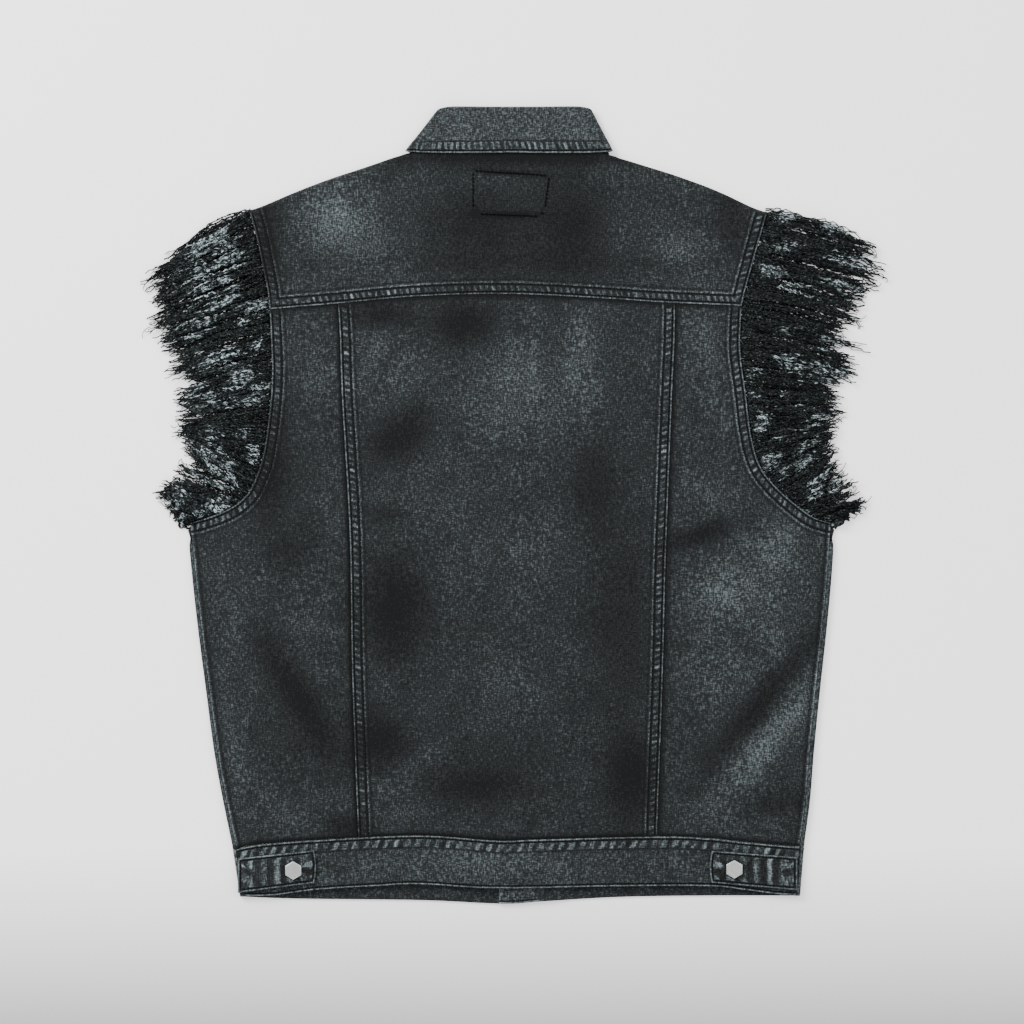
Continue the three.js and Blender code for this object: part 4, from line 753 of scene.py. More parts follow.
def side_piece(name, which, pitch):
    sign, inset = which["sign"], which["inset"]
    lower = line_through(mirrored(WAIST_SEAM, sign), SEAM_GAP)
    upper = line_through(mirrored(YOKE_SEAM, sign))
    shares = np.linspace(0, 1, 2 * round(SIDE_HALF_HIGH / pitch) + 1)
    side, armhole = mirrored(which["side"], sign), mirrored(which["armhole"], sign)
    princess = mirrored(which["princess"], sign)
    lefts = side_then_armhole(side, armhole, inset, lower(side[0][0] + inset), upper, shares)
    low, high = lower(princess[0][0]), upper(princess[-1][0])
    y = np.where(shares < UNDERARM_SHARE, mix(low, PRINCESS_AT_UNDERARM, shares / UNDERARM_SHARE),
                 mix(PRINCESS_AT_UNDERARM, high, (shares - UNDERARM_SHARE) / (1 - UNDERARM_SHARE)))
    rights = np.stack([x_at_height(princess)(y) - SEAM_GAP, y], -1)
    x, y = slanted_grid(lefts, rights, lower, upper, shares, BAND_DISTANCES, round(SIDE_WIDE / pitch))
    x, lefts = x * sign, lefts * (sign, 1)
    distance, along = from_armhole(x, y, which)
    top, foot = line_through(YOKE_SEAM)(x) - y, y - line_through(WAIST_SEAM, SEAM_GAP)(x)
    inner_edge = abs(x - x_at_height(which["princess"])(y))
    rise = band_rise(distance) + pucker(along, distance) + pucker(x, foot) + pucker(y, inner_edge)
    side_seam = abs(x - lefts[:, :1])
    below = (shares <= UNDERARM_SHARE)[:, None]
    worn = (swell(side_seam, *SIDE_WORN) + swell(side_seam, *SIDE_DARK)) * below
    tone = fades_and_painted_shade(x, y) + tuck(foot, top) + swell(inner_edge, *TUCK_BESIDE) + worn
    piece, _ = lying(name, x, y, back_height(x, y), rise, along, distance, tone)
    for line in STITCH_LINES:
        spots = beside(along_curve(which["armhole"])(np.linspace(0.02, 1, 160)), line * sign)
        SEWING.append(on_back(spots, band_rise(line)))
    return piece


# Waistband


def straight_edge(rows, inset):
    low, high = rows[0], rows[-1]
    return lambda y: mix(low[0], high[0], (y - low[1]) / (high[1] - low[1])) + inset


def waistband_back_piece(pitch):
    lower, upper = line_through(HEM_BACK), line_through(WAIST_SEAM)
    rows = stations(8, EDGE_DISTANCES, BAND_DISTANCES)
    x, y, edges = level_grid(
        straight_edge(WAIST_END_LEFT, SIDES["left"]["inset"]),
        straight_edge(WAIST_END_RIGHT, -SIDES["right"]["inset"]),
        lower, upper, rows, stations(round(WAIST_WIDE / pitch), EDGE_DISTANCES, EDGE_DISTANCES))
    low = np.where(edges[2] < 3, edges[2], NO_SEAM)
    distance = np.minimum(edges[3], low)
    hem = HEM_RISE * np.interp(edges[2], HEM_DISTANCES, HEM_SHARES)
    rise = band_rise(edges[3]) + hem + pucker(x, distance)
    tone = fades_and_painted_shade(x, y) + WAISTBAND_TONE
    along = x * WAIST_ROPING
    piece, outer = lying("waistband", x, y, back_height(x, y), rise, along, distance, tone, 0.0)
    line = stitch_columns(BAND_DISTANCES)[0]
    sew(outer, rows=[len(outer) - 1 - line, line], start=3, end=-3)
    return piece


# Columns that go round the side fold: degrees that each has turned, and distances from the fold
ROLL_ANGLES = np.array([180, 180, 157, 135, 112, 90, 67, 45, 22, 0])
ROLL_FLAT = np.array([0, 1.1, 2.2, 3.3, 4.4, 5.5, 6.6, 7.7, 8.8, 9.9, 11])


def rolled_wall(x, y, height, which, weight):
    """Faces of a front piece that wraps round the side fold, laid out as a left one."""
    sign, inset = which["sign"], which["inset"]
    inner, outer = plies(x, y, height(x * sign, y))
    edge = x[:, 0]
    radius = (back_level((edge + inset) * sign, y[:, 0]) - FLOOR_PLY) / 2
    centre = edge + radius + HALF
    straight = np.maximum(0.15, inset - SEAM_GAP - radius - HALF)
    for column, degrees in enumerate(ROLL_ANGLES):
        turn = math.radians(degrees)
        level = straight if column == 0 else 0 * straight
        for skin, face in ((HALF, outer), (-HALF, inner)):
            placed = np.stack([
                centre - (radius + skin) * math.sin(turn) - level * math.cos(turn), y[:, 0],
                FLOOR_PLY + radius - (radius + skin) * math.cos(turn) + level * math.sin(turn)], -1)
            face[:, column] = mix(face[:, column], placed, weight[:, None])
    return outer * (sign, 1, 1), inner * (sign, 1, 1)


def waistband_front_piece(name, which, inner_x, height, pitch):
    sign = which["sign"]
    lower = line_through(mirrored(HEM_FRONT, sign))
    upper = line_through(mirrored(WAIST_SEAM, sign))
    overlap = PLACKET_RIGHT - PLACKET_LEFT
    end = np.array([0, 3, 7.1, 11, 15.1, overlap / 2, overlap - 15.1, overlap - 7.1, overlap, overlap + 7,
                    overlap + 13, overlap + 20, overlap + RAMP])
    x, y, edges = level_grid(
        straight_edge(mirrored(which["end"], sign), 0), steady(inner_x * sign), lower, upper,
        stations(10, EDGE_DISTANCES), stations(round(WAIST_FRONT_WIDE / pitch), ROLL_FLAT, end))
    outer, inner = rolled_wall(x, y, height, which, np.ones(len(x)))
    distance = np.where((edges[2] < 3.2) & (edges[1] < overlap), edges[2], NO_SEAM)
    hem = HEM_FRONT_RISE * np.interp(edges[2], HEM_DISTANCES, HEM_FRONT_SHARES)
    inner[..., 2] += hem * (edges[0] > ROLL_FLAT[-1])
    worn = swell(edges[0], *WAIST_SIDE_WORN) + swell(edges[1], *CLOSING_WORN)
    tone = worn + WAIST_FRONT_TONE + CLOSING_TONE * (edges[1] < overlap)
    return wall(name, inner, outer, x * sign, distance, tone)


# Collar


def collar_stations(count):
    """Fold, fall and seam lines of the whole collar, from its left tip to its right one."""
    halves = []
    for sign, top, low in COLLAR_SPREAD.values():
        rows = []
        for index, (turn, fold_x, fold_y, fall_x, fall_y, seam_x, seam_y) in enumerate(COLLAR_HALF):
            front = max(0, index - COLLAR_BACK_STATIONS) / (len(COLLAR_HALF) - 1 - COLLAR_BACK_STATIONS)
            shift = CLOSING_X * front
            rows.append((turn * sign, sign * fold_x * top + shift, fold_y,
                         sign * fall_x * mix(low, 1, front) + shift, fall_y, sign * seam_x + shift, seam_y))
        halves.append(rows)
    table = halves[0][::-1] + halves[1][1:]
    values = curve(table)(np.linspace(0, 1, count))
    turn = np.radians(np.clip(values[:, 0], -180, 180))
    return turn, values[:, 1:3], values[:, 3:5], values[:, 5:7]


def collar_piece(pitch):
    turn, fold, fall, seam = collar_stations(round(COLLAR_LONG / pitch))
    over_back = np.cos(turn / 2) ** 2

    def placed(place, radial):
        radial = np.broadcast_to(radial, turn.shape)
        out = place[:, 0] + radial * np.sin(turn)
        return np.stack([out, place[:, 1], FALL_MIDDLE + radial * np.cos(turn)], -1)

    depth = np.linalg.norm(fold - fall, axis=1)
    outer, inner, distances, tones = [], [], [], []
    offset, share = stations(10, BAND_DISTANCES)
    x_line = travelled(fall)
    for row_offset, row_share in zip(offset, share):
        reach = row_offset + row_share * depth
        place = fall + (fold - fall) * (reach / depth)[:, None]
        bump = COLLAR_BAND_RISE * np.interp(reach, BAND_DISTANCES, BAND_HEIGHTS) * over_back
        soft = COLLAR_UNEVEN * np.sin(x_line / 7.3 + reach / 5) * np.clip(reach / 12, 0, 1) * over_back
        soft += pucker(x_line, reach) * over_back * ease(reach / 2)
        outer.append(placed(place, FALL_RADIUS + HALF + bump + soft))
        inner.append(placed(place, FALL_RADIUS - HALF))
        distances.append(reach)
        tones.append(COLLAR_PALE * ease((reach - 6) / 6) * over_back + COLLAR_TONE)
    out = unit(fold - fall)
    plain = np.full(len(turn), NO_SEAM)
    for degrees in np.linspace(30, 180, 6):
        angle = math.radians(degrees)
        for skin, faces in ((HALF, outer), (-HALF, inner)):
            around = FALL_PLY / 2 + skin
            place = fold + out * around * math.sin(angle)
            faces.append(placed(place, FALL_RADIUS - FALL_PLY / 2 + around * math.cos(angle)))
        distances.append(plain)
        tones.append(plain * 0 + (COLLAR_TOP_WORN if degrees < COLLAR_TOP_ENDS else 0))
    for part in (0.25, 0.5, 0.75, 1):
        place = mix(fold, seam, part)
        outer.append(placed(place, FALL_RADIUS - FALL_PLY - HALF))
        inner.append(placed(place, FALL_RADIUS - FALL_PLY + HALF))
        distances.append(plain)
        tones.append(plain * 0)
    outer = np.array(outer)
    along = np.broadcast_to(x_line, outer.shape[:2])
    piece = wall("collar_cloth", outer, np.array(inner), along, np.array(distances), np.array(tones), 0.0)
    start = int(np.argmax(over_back > 0.9))
    stop = len(turn) - int(np.argmax(over_back[::-1] > 0.9))
    sew(outer, rows=stitch_columns(BAND_DISTANCES)[:1], start=start, end=stop)
    return piece


# Fronts and the closing


def front_piece(name, which, inner_x, height, pitch):
    sign = which["sign"]
    side = x_at_height(mirrored(which["side"], sign))
    arm = along_curve(mirrored(which["armhole"] + which["yoke"], sign))
    lower = line_through(mirrored(WAIST_SEAM, sign), SEAM_GAP)
    upper = line_through(mirrored(NECK_AND_SHOULDERS, sign), -SHOULDER_DEPTH)
    shares = np.linspace(0, 1, round(FRONT_HIGH / pitch))
    arm_share = np.clip((shares - FRONT_UNDERARM) / (1 - FRONT_UNDERARM), 0, 1)
    small = 1e-3
    tangent = unit(arm(np.clip(arm_share + small, 0, 1)) - arm(np.clip(arm_share - small, 0, 1)))
    on_arm = arm(arm_share) + np.stack([tangent[:, 1], -tangent[:, 0]], -1) * FRONT_ARMHOLE_INSET
    underarm_y = on_arm[0, 1]
    low = lower(which["side"][0][0] * sign)
    side_y = mix(low, underarm_y, np.clip(shares / FRONT_UNDERARM, 0, 1))
    lefts = np.where((shares <= FRONT_UNDERARM)[:, None], np.stack([side(side_y), side_y], -1), on_arm)
    shoulder_x = which["yoke"][-1][0] * sign + FRONT_ARMHOLE_INSET
    lefts[-1] = (shoulder_x, upper(shoulder_x))
    neck_rows = [(inner_x * sign, NECK_FRONT_Y)]
    _, _, _, seam = collar_stations(2 * len(COLLAR_HALF) - 1)
    half = seam[: len(COLLAR_HALF)] if sign > 0 else seam[len(COLLAR_HALF) - 1:][::-1]
    for place in half[1:4]:
        neck_rows.append((place[0] * sign - 0.6, place[1] - 0.6))
    neck_rows.append((-NECK_SIDE, upper(-NECK_SIDE)))
    neck = curve(neck_rows)
    closing_y = mix(lower(inner_x * sign), NECK_FRONT_Y, np.clip(shares / FRONT_NECK, 0, 1))
    below = np.stack([np.full(len(shares), inner_x * sign), closing_y], -1)
    rights = np.where((shares <= FRONT_NECK)[:, None], below, neck((shares - FRONT_NECK) / (1 - FRONT_NECK)))
    x, y = slanted_grid(lefts, rights, lower, upper, shares, ROLL_FLAT, round(FRONT_WIDE / pitch))
    outer, inner = rolled_wall(x, y, height, which, ease((FRONT_UNDERARM - shares) / ROLL_ENDS))
    over, under = shoulder_turn(x[-1] * sign, y[-1], height, 1)
    outer, inner = np.concatenate([outer, over]), np.concatenate([inner, under])
    tone = np.zeros(outer.shape[:2])
    tone[:, :3] = FOLD_WORN
    return wall(name, outer, inner, outer[..., 1], np.full(tone.shape, NO_SEAM), tone)


def placket_piece(name, height, pitch):
    lower = line_through(WAIST_SEAM, SEAM_GAP)
    rows = stations(round(PLACKET_HIGH / pitch), EDGE_DISTANCES)
    x, y, edges = level_grid(steady(PLACKET_LEFT), steady(PLACKET_RIGHT), lower, steady(PLACKET_TOP), rows,
                             stations(6, EDGE_DISTANCES, EDGE_DISTANCES))
    distance = np.minimum(edges[0], edges[1])
    piece, _ = lying(name, x, y, height(x, y), 0 * x, y, np.where(distance < 3, distance, NO_SEAM), 0 * x)
    return piece


# Tabs and buttons


def tab_seat(x, y):
    return back_level(x, y) + HALF + FELL_RISE + SEAM_GAP


def tab_piece(name, tab, pitch):
    side_x, side_top, side_low, end_x, end_top, end_low, button = tab
    away = 1 if side_x > end_x else -1
    margin = EDGE_DISTANCES
    rows, columns = (stations(round(size / pitch), margin, margin) for size in (TAB_HIGH, TAB_WIDE))

    def side_line(share):
        return np.full(np.shape(share), float(side_x)), mix(side_low, side_top, share)

    def end_line(share):
        return end_x - TAB_POINT * np.sin(np.pi * share) * away, mix(end_low, end_top, share)

    near, far = (side_line, end_line) if away < 0 else (end_line, side_line)
    share = (rows[1] + rows[0] / TAB_DEPTH)[:, None]
    (x0, y0), (x1, y1) = near(share), far(share)
    width = x1 - x0
    across = columns[1] + columns[0] / width
    x = x0 + width * across
    y = y0 + (y1 - y0) * across
    edges = [width * across, width * (1 - across), share * TAB_DEPTH, (1 - share) * TAB_DEPTH]
    edges = [np.broadcast_to(edge, x.shape) for edge in edges]
    distance = np.minimum(np.minimum.reduce(edges), 5)
    seat = tab_seat(x, y)
    pillow = np.interp(distance, (*EDGE_DISTANCES, 6), TAB_PILLOW)
    soft = 0.14 * np.sin(x / 5.3 + y / 11) * np.clip(distance / 6, 0, 1)
    outer = np.stack([x, y, seat + TAB_THICKNESS + pillow + soft], -1)
    inner = np.stack([x, y, seat + 0 * x], -1)
    along = np.where(np.minimum(edges[0], edges[1]) < np.minimum(edges[2], edges[3]), y, x)
    hole = np.hypot((x - button[0]) / 1.5, y - button[1])
    tone = TAB_TONE + fades_and_painted_shade(x, y) * TAB_FADES_AND_SHADE + swell(hole, *BUTTON_SHADE)
    piece = wall(name, outer, inner, along * TAB_ROPING, distance, tone, 0.0)
    line = int(np.argmin(abs(margin - STITCH_LINES[0])))
    sew(outer, columns=[line, x.shape[1] - 1 - line], rows=[line, len(x) - 1 - line], start=line, end=-line)
    return piece


def deselect():
    bpy.ops.object.select_all(action="DESELECT")


BUTTON_RINGS = [(0.16, 0.22), (0.12, -0.12), (0.3, 0.1)]  # width as a share of the radius, and rise
BUTTON_RIM = 0.34


def press_button(name, x, y, low, radius, height, sides, dished):
    """A metal button: a low prism with eased rims, dished on the face that shows."""
    deselect()
    bpy.ops.mesh.primitive_cylinder_add(vertices=sides, radius=radius * MM, depth=height * MM,
                                        location=(x * MM, y * MM, (low + height / 2) * MM))
    button = bpy.context.object
    button.name = name
    button.data.name = name
    bpy.ops.object.mode_set(mode="EDIT")
    bpy.ops.mesh.select_all(action="DESELECT")
    bpy.ops.object.mode_set(mode="OBJECT")
    for face in button.data.polygons:
        face.select = dished * face.normal.z > 0.9
    bpy.ops.object.mode_set(mode="EDIT")
    for share, rise in BUTTON_RINGS:
        bpy.ops.mesh.inset(thickness=radius * share * MM, depth=rise * MM)
    bpy.ops.mesh.select_all(action="DESELECT")
    bpy.ops.object.mode_set(mode="OBJECT")
    bevel = button.modifiers.new("eased rims", "BEVEL")
    bevel.width = BUTTON_RIM * MM
    bevel.segments = 3
    bevel.limit_method = "ANGLE"
    bevel.angle_limit = math.radians(24)
    bpy.ops.object.modifier_apply(modifier=bevel.name)
    bpy.ops.object.transform_apply(location=True, rotation=True, scale=True)
    bpy.ops.object.shade_smooth_by_angle(angle=math.radians(32))
    return button


# Sewing


# Rings of a stitch: place along it, thickness and lift, as shares of its length and radius
STITCH_RINGS = [(-0.5, 0.35, -0.35), (-0.3, 1.0, 0.35), (0.3, 1.0, 0.35), (0.5, 0.35, -0.35)]
STITCH_SIDES = 4


def stitches(name, lines, pitch, length, radius):
    """All the stitches along some lines, each a short thick thread that dips in at both ends."""
    points = []
    angles = (np.arange(STITCH_SIDES) + 0.5) * 2 * math.pi / STITCH_SIDES
    corners = [(math.cos(angle), math.sin(angle)) for angle in angles]
    for line in lines:
        travel = travelled(line)
        places = np.arange(pitch, travel[-1] - pitch, pitch)
        middle = between(places, travel, line)
        along = unit(between(places + 1, travel, line) - middle)
        across = np.stack([-along[:, 1], along[:, 0], 0 * along[:, 0]], -1)
        up = np.cross(along, across)
        for spot, forward, side, rise in zip(middle, along, across, up):
            for reach, thick, lift in STITCH_RINGS:
                hub = spot + forward * reach * length + rise * radius * (lift + 0.5)
                points += [hub + radius * thick * (side * out + rise * high) for out, high in corners]
    pattern = []
    for first in range(0, STITCH_SIDES * (len(STITCH_RINGS) - 1), STITCH_SIDES):
        for corner in range(STITCH_SIDES):
            a, b = first + corner, first + (corner + 1) % STITCH_SIDES
            pattern.append((a, b, b + STITCH_SIDES, a + STITCH_SIDES))
    each = STITCH_SIDES * len(STITCH_RINGS)
    pattern += [(3, 2, 1, 0), (each - 4, each - 3, each - 2, each - 1)]
    bases = np.arange(0, len(points), each)
    faces = (bases[:, None, None] + np.array(pattern)).reshape(-1, 4)
    return mesh_object(name, np.array(points), faces, {})


# Fringe


def tubes(paths, radii, shades):
    """Three-sided tubes along paths of equal length, with a value at each step."""
    count, steps = paths.shape[:2]
    along = np.gradient(paths, axis=1)
    along /= np.maximum(np.linalg.norm(along, axis=2), 1e-9)[..., None]
    across = np.stack([-along[..., 1], along[..., 0], np.zeros((count, steps))], -1)
    across /= np.maximum(np.linalg.norm(across, axis=2), 1e-6)[..., None]
    up = np.cross(along, across)
    angles = math.pi / 2 + np.arange(3) * 2 * math.pi / 3
    rings = [paths + radii[..., None] * (across * math.cos(angle) + up * math.sin(angle)) for angle in angles]
    points = np.stack(rings, 2).reshape(-1, 3)
    index = np.arange(count * steps * 3).reshape(count, steps, 3)
    turned = np.roll(index, -1, axis=2)
    quads = np.stack([index[:, :-1], turned[:, :-1], turned[:, 1:], index[:, 1:]], -1).reshape(-1, 4)
    triangles = np.concatenate([quads[:, [0, 1, 2]], quads[:, [0, 2, 3]],
                                index[:, 0, ::-1].reshape(-1, 3), index[:, -1].reshape(-1, 3)])
    return points, triangles, np.repeat(shades.reshape(-1), 3)


# Each layer: inset from the armhole's edge, heights of its roots, crests and ends, share of the way to the
# tips, width of its locks, share of pale locks, and how far a lock strays from its place
FRINGE_BACK = {"inset": -0.9, "root": 4.1, "crest": (5.0, 8.2), "end": (1.6, 5.0), "reach": (0.80, 1.05),
               "spread": 1.0, "pale": 0.72, "drift": 1.0}
FRINGE_FRONT = {"inset": 1.8, "root": 1.5, "crest": (1.8, 2.8), "end": (1.2, 2.4), "reach": (0.72, 0.97),
                "spread": 2.1, "pale": 0.3, "drift": 0.3}
LOCKS_TOGETHER = (2, 6)
# Pale stretches of a lock: where their middles may be along it, and half their length
PALE_STRETCHES = [((0.12, 0.5), (0.04, 0.15)), ((0.5, 0.88), (0.04, 0.16))]
FLOOR_CLEAR = 0.55
TIP_LEAD = 0.17  # how much the tips lean towards the underarm
TIP_NOTCH = (0.76, 0.14, 0.09)  # share of the armhole, width and depth of the parting near the underarm
CREST_AT, FALL_FROM = 0.22, 0.35  # shares of a lock at which it is highest and starts to fall
LIT_YARNS = 0.72  # share of the yarns whose pale core shows
CRINKLE = 0.46
LOOSE_RADIUS = 0.42


def clumps(random, locks, layer, share):
    """Locks that lie together, with their shared reach, turn and pale stretches."""
    rows = []
    while len(rows) < locks:
        pale = random.uniform(0.5, 1) if random.uniform() < layer["pale"] * share else 0.0
        stretches = [(random.uniform(*middle), random.uniform(*half)) for middle, half in PALE_STRETCHES]
        shared = (random.uniform(), random.uniform(-3, 3), pale, stretches)
        rows += [shared] * random.integers(*LOCKS_TOGETHER)
    return rows[:locks]


def lock_line(random, root, tip, travel, out):
    """A lock's middle from its root to its tip, bending down and swaying, with its sideways direction."""
    flow = tip - root
    bend = root + flow * 0.42 + np.array([out * 0.05, 0.06]) * np.hypot(*flow) * random.uniform(-0.6, 1.5)
    ahead = travel[:, None]
    line = (1 - ahead) ** 2 * root + 2 * ahead * (1 - ahead) * bend + ahead ** 2 * tip
    direction = unit(np.gradient(line, axis=0))
    normal = np.stack([-direction[:, 1], direction[:, 0]], -1)
    sway = 1.8 * np.sin(travel * random.uniform(4, 10) + random.uniform(0, 6)) * travel ** 0.7
    return line + normal * sway[:, None], direction, normal


def fringe_piece(name, side, layer, locks, sizes, seed):
    """Twisted locks of yarn from an armhole edge to their ragged tips, with loose curled ends."""
    random = np.random.default_rng(seed)
    which = SIDES[side]
    edge = along_curve(which["armhole"] + which["yoke"][1:])(np.linspace(0, 1, 200))
    edge = beside(edge, layer["inset"] * which["sign"])
    tips = np.array(FRINGE_TIPS[side])
    steps = sizes.steps
    travel = np.linspace(0, 1, steps)
    paths, radii, shades = [], [], []
    out = -which["sign"]
    rows = clumps(random, locks, layer, which["pale"])
    for lock, (reach, shift, pale_lock, stretches) in enumerate(rows):
        share = (lock + 0.5 + random.uniform(-0.3, 0.3) * layer["drift"]) / locks
        root = between(1 - share, np.linspace(0, 1, len(edge)), edge)
        ahead = share + TIP_LEAD * math.sin(math.pi * share) * (1 - share) - swell(share, *TIP_NOTCH)
        tip = between(ahead, tips[:, 0], tips[:, 1:])
        pull = mix(layer["reach"][0], layer["reach"][1], 0.6 * reach + 0.4 * random.uniform())
        drift = np.array([random.uniform(-2, 2), shift + random.uniform(-4, 4)]) * layer["drift"]
        tip = root + (tip - root) * pull + drift
        base, direction, normal = lock_line(random, root, tip, travel, out)
        length = np.hypot(*(tip - root))
        crest, end = random.uniform(*layer["crest"]), random.uniform(*layer["end"])
        level = mix(layer["root"], crest, ease(travel / CREST_AT))
        level += (end - crest) * ease((travel - FALL_FROM) / (1 - FALL_FROM))
        level += 0.5 * np.sin(travel * random.uniform(7, 13) + random.uniform(0, 6)) * ease(travel * 4)
        turns = length / (sizes.turn / MM) * random.uniform(0.75, 1.3)
        body = sizes.lock_radius / MM * layer["spread"] * random.uniform(0.75, 1.25)
        body = body * (0.85 + 0.25 * np.sin(travel * random.uniform(6, 12) + reach * 6))
        body = body * (1 - 0.6 * ease((travel - 0.55) / 0.45))
        slip = random.uniform(-0.07, 0.07)
        pale_line = sum(ease((half - abs(travel - middle - slip)) / 0.05 + 0.5) for middle, half in stretches)
        for _ in range(sizes.yarns):
            swirl = 2 * math.pi * turns * travel * random.uniform(0.8, 1.25) + random.uniform(0, 6.3)
            curl = random.uniform(0.3, 0.9) * (0.4 + 0.6 * ease(travel / 0.1))
            stray = random.uniform(-1, 1) * body * random.uniform(0.7, 1.1)
            loose = random.uniform(-3.2, 3.2) * ease((travel - 0.7) / 0.3) ** 2
            crinkle = random.normal(0, CRINKLE, (steps, 3)) * (1, 1, 0.7)
            crinkle[0] = 0
            along = travel * random.uniform(0.82, 1.0)
            middle = between(along, travel, base)
            shifted = stray + np.cos(swirl) * curl + loose
            height = np.interp(along, travel, level) + random.uniform(-0.5, 0.5) * body + np.sin(swirl) * curl
            path = np.column_stack([middle + normal * shifted[:, None], height]) + crinkle
            path[:, 2] = np.maximum(path[:, 2], FLOOR_CLEAR)
            paths.append(path)
            thick = sizes.yarn_radius / MM * random.uniform(0.65, 1.2)
            radii.append(thick * (1 - 0.35 * ease((travel - 0.8) / 0.2)))
            lit = random.uniform(0.45, 1) if random.uniform() < LIT_YARNS else 0.04
            shades.append(pale_lock * pale_line * lit + random.uniform(0, 0.04))
        if lock % 2 == 0:
            paths.append(curled_end(random, base, level, direction, normal, travel))
            radii.append(LOOSE_RADIUS * (1 - 0.3 * travel))
            shades.append(np.full(steps, random.choice([0.01, 0.02, 0.2])))
    points, faces, pale = tubes(np.array(paths), np.array(radii), np.array(shades))
    return mesh_object(name, points, faces, {"pale": pale})


def curled_end(random, base, level, direction, normal, travel):
    """A loose yarn that leaves a lock and curls."""
    start = random.integers(int(len(travel) * 0.55), len(travel) - 2)
    reach, sway = random.uniform(5, 13), random.uniform(-4, 4)
    loops, loop = random.uniform(0.4, 1.6), random.uniform(0.8, 2.6)
    swirl = 2 * math.pi * loops * travel ** 1.5
    forward = reach * travel + loop * np.sin(swirl)
    sideways = sway * travel ** 2 + loop * (1 - np.cos(swirl)) * np.sign(sway)
    place = base[start] + direction[start] * forward[:, None] + normal[start] * sideways[:, None]
    height = np.maximum(level[start] * (1 - 0.7 * travel) + 0.4 * np.sin(swirl), FLOOR_CLEAR)
    return np.column_stack([place, height])


# Materials


class Tree:
    """Adds nodes to a material or node group."""

    def __init__(self, tree):
        self.tree = tree
        tree.nodes.clear()

    def node(self, kind, inputs=(), **settings):
        made = self.tree.nodes.new(kind)
        for key, value in settings.items():
            setattr(made, key, value)
        for key, value in dict(inputs).items():
            self.feed(made.inputs[key], value)
        return made

    def feed(self, socket, value):
        if isinstance(value, bpy.types.NodeSocket):
            self.tree.links.new(value, socket)
        else:
            socket.default_value = value

    def maths(self, operation, first, second=0.0):
        return self.node("ShaderNodeMath", {0: first, 1: second}, operation=operation).outputs[0]

    def add(self, *values):
        total = values[0]
        for value in values[1:]:
            total = self.maths("ADD", total, value)
        return total

    def times(self, first, second):
        return self.maths("MULTIPLY", first, second)

    def off_middle(self, value):
        return self.maths("SUBTRACT", value, 0.5)

    def weighed(self, shares, **parts):
        """Each part times its share."""
        return [self.times(part, shares[name]) for name, part in parts.items()]

    def value_of(self, name, output="Fac"):
        """A value that the mesh keeps at its points."""
        return self.node("ShaderNodeAttribute", attribute_name=name).outputs[output]

    def on_line(self, place):
        return self.node("ShaderNodeCombineXYZ", {0: place}).outputs[0]

    def noise(self, vector, scale, detail=2.0, roughness=0.5, stretch=None):
        if stretch:
            vector = self.vector_maths("MULTIPLY", {0: vector, 1: stretch})
        made = self.node("ShaderNodeTexNoise", {"Vector": vector, "Scale": scale, "Detail": detail,
                                                "Roughness": roughness})
        return made.outputs["Fac"]

    def vector_maths(self, operation, inputs):
        return self.node("ShaderNodeVectorMath", inputs, operation=operation).outputs[0]

    def spread(self, value, low, high, start=0.0, end=1.0, **settings):
        """A value between low and high, spread from start to end."""
        made = self.node("ShaderNodeMapRange", {"Value": value, "From Min": low, "From Max": high,
                                                "To Min": start, "To Max": end}, **settings)
        return made.outputs["Result"]

    def hump(self, value, middle, half):
        """1 at a middle value, falling to 0 at half a width to either side."""
        away = self.maths("ABSOLUTE", self.maths("SUBTRACT", value, middle))
        return self.spread(away, 0.0, half, 1.0, 0.0, interpolation_type="SMOOTHSTEP")

    def blend(self, factor, first, second):
        made = self.node("ShaderNodeMix", data_type="RGBA")
        self.feed(made.inputs[0], factor)
        self.feed(made.inputs[6], first)
        self.feed(made.inputs[7], second)
        return made.outputs[2]

    def millimetres(self):
        coordinates = self.node("ShaderNodeTexCoord").outputs["Object"]
        return self.vector_maths("SCALE", {0: coordinates, "Scale": 1 / MM})


def new_group(name, inputs, outputs):
    group = bpy.data.node_groups.new(name, "ShaderNodeTree")
    for label, kind, value in inputs:
        socket = group.interface.new_socket(name=label, in_out="INPUT", socket_type=kind)
        socket.default_value = value
    for label, kind in outputs:
        group.interface.new_socket(name=label, in_out="OUTPUT", socket_type=kind)
    return group


WEAVE_SCALE = 1.08
PLAIN_CLOTH = 0.40  # how pale the cloth is where nothing fades or darkens it
PALENESS = {"tone": 1.2, "weave": 0.66, "fleck": 0.06, "cloud": 0.26, "patch": 0.12}
# Amounts of the seams' pale wear, and of their painted shade: the grooves and the outline
SEAM_WEAR_AND_SHADE = {"piping": 0.52, "groove": -0.70, "outline": -0.22, "roping": 1.0, "ridge": 0.34}
RELIEF = {"weave": 0.45, "fleck": 0.1, "roping": 0.75, "groove": -0.35, "cloud": 0.5}
# Places across a folded seam, each a distance from its edge and half the width of its line. The grooves are
# painted shade at the stitching and at the very edge, and the outline is a painted shadow beyond the ridge
PIPING, NEAR_GROOVE, FAR_GROOVE, EDGE_GROOVE = (0.75, 0.95), (2.2, 1.15), (8.3, 1.3), (-0.5, 0.6)
RIDGE, OUTLINE = (10.3, 1.3), (12.6, 1.6)
UNLAPPED_SHIFT = 2.0  # a band that isn't felled is this much wider


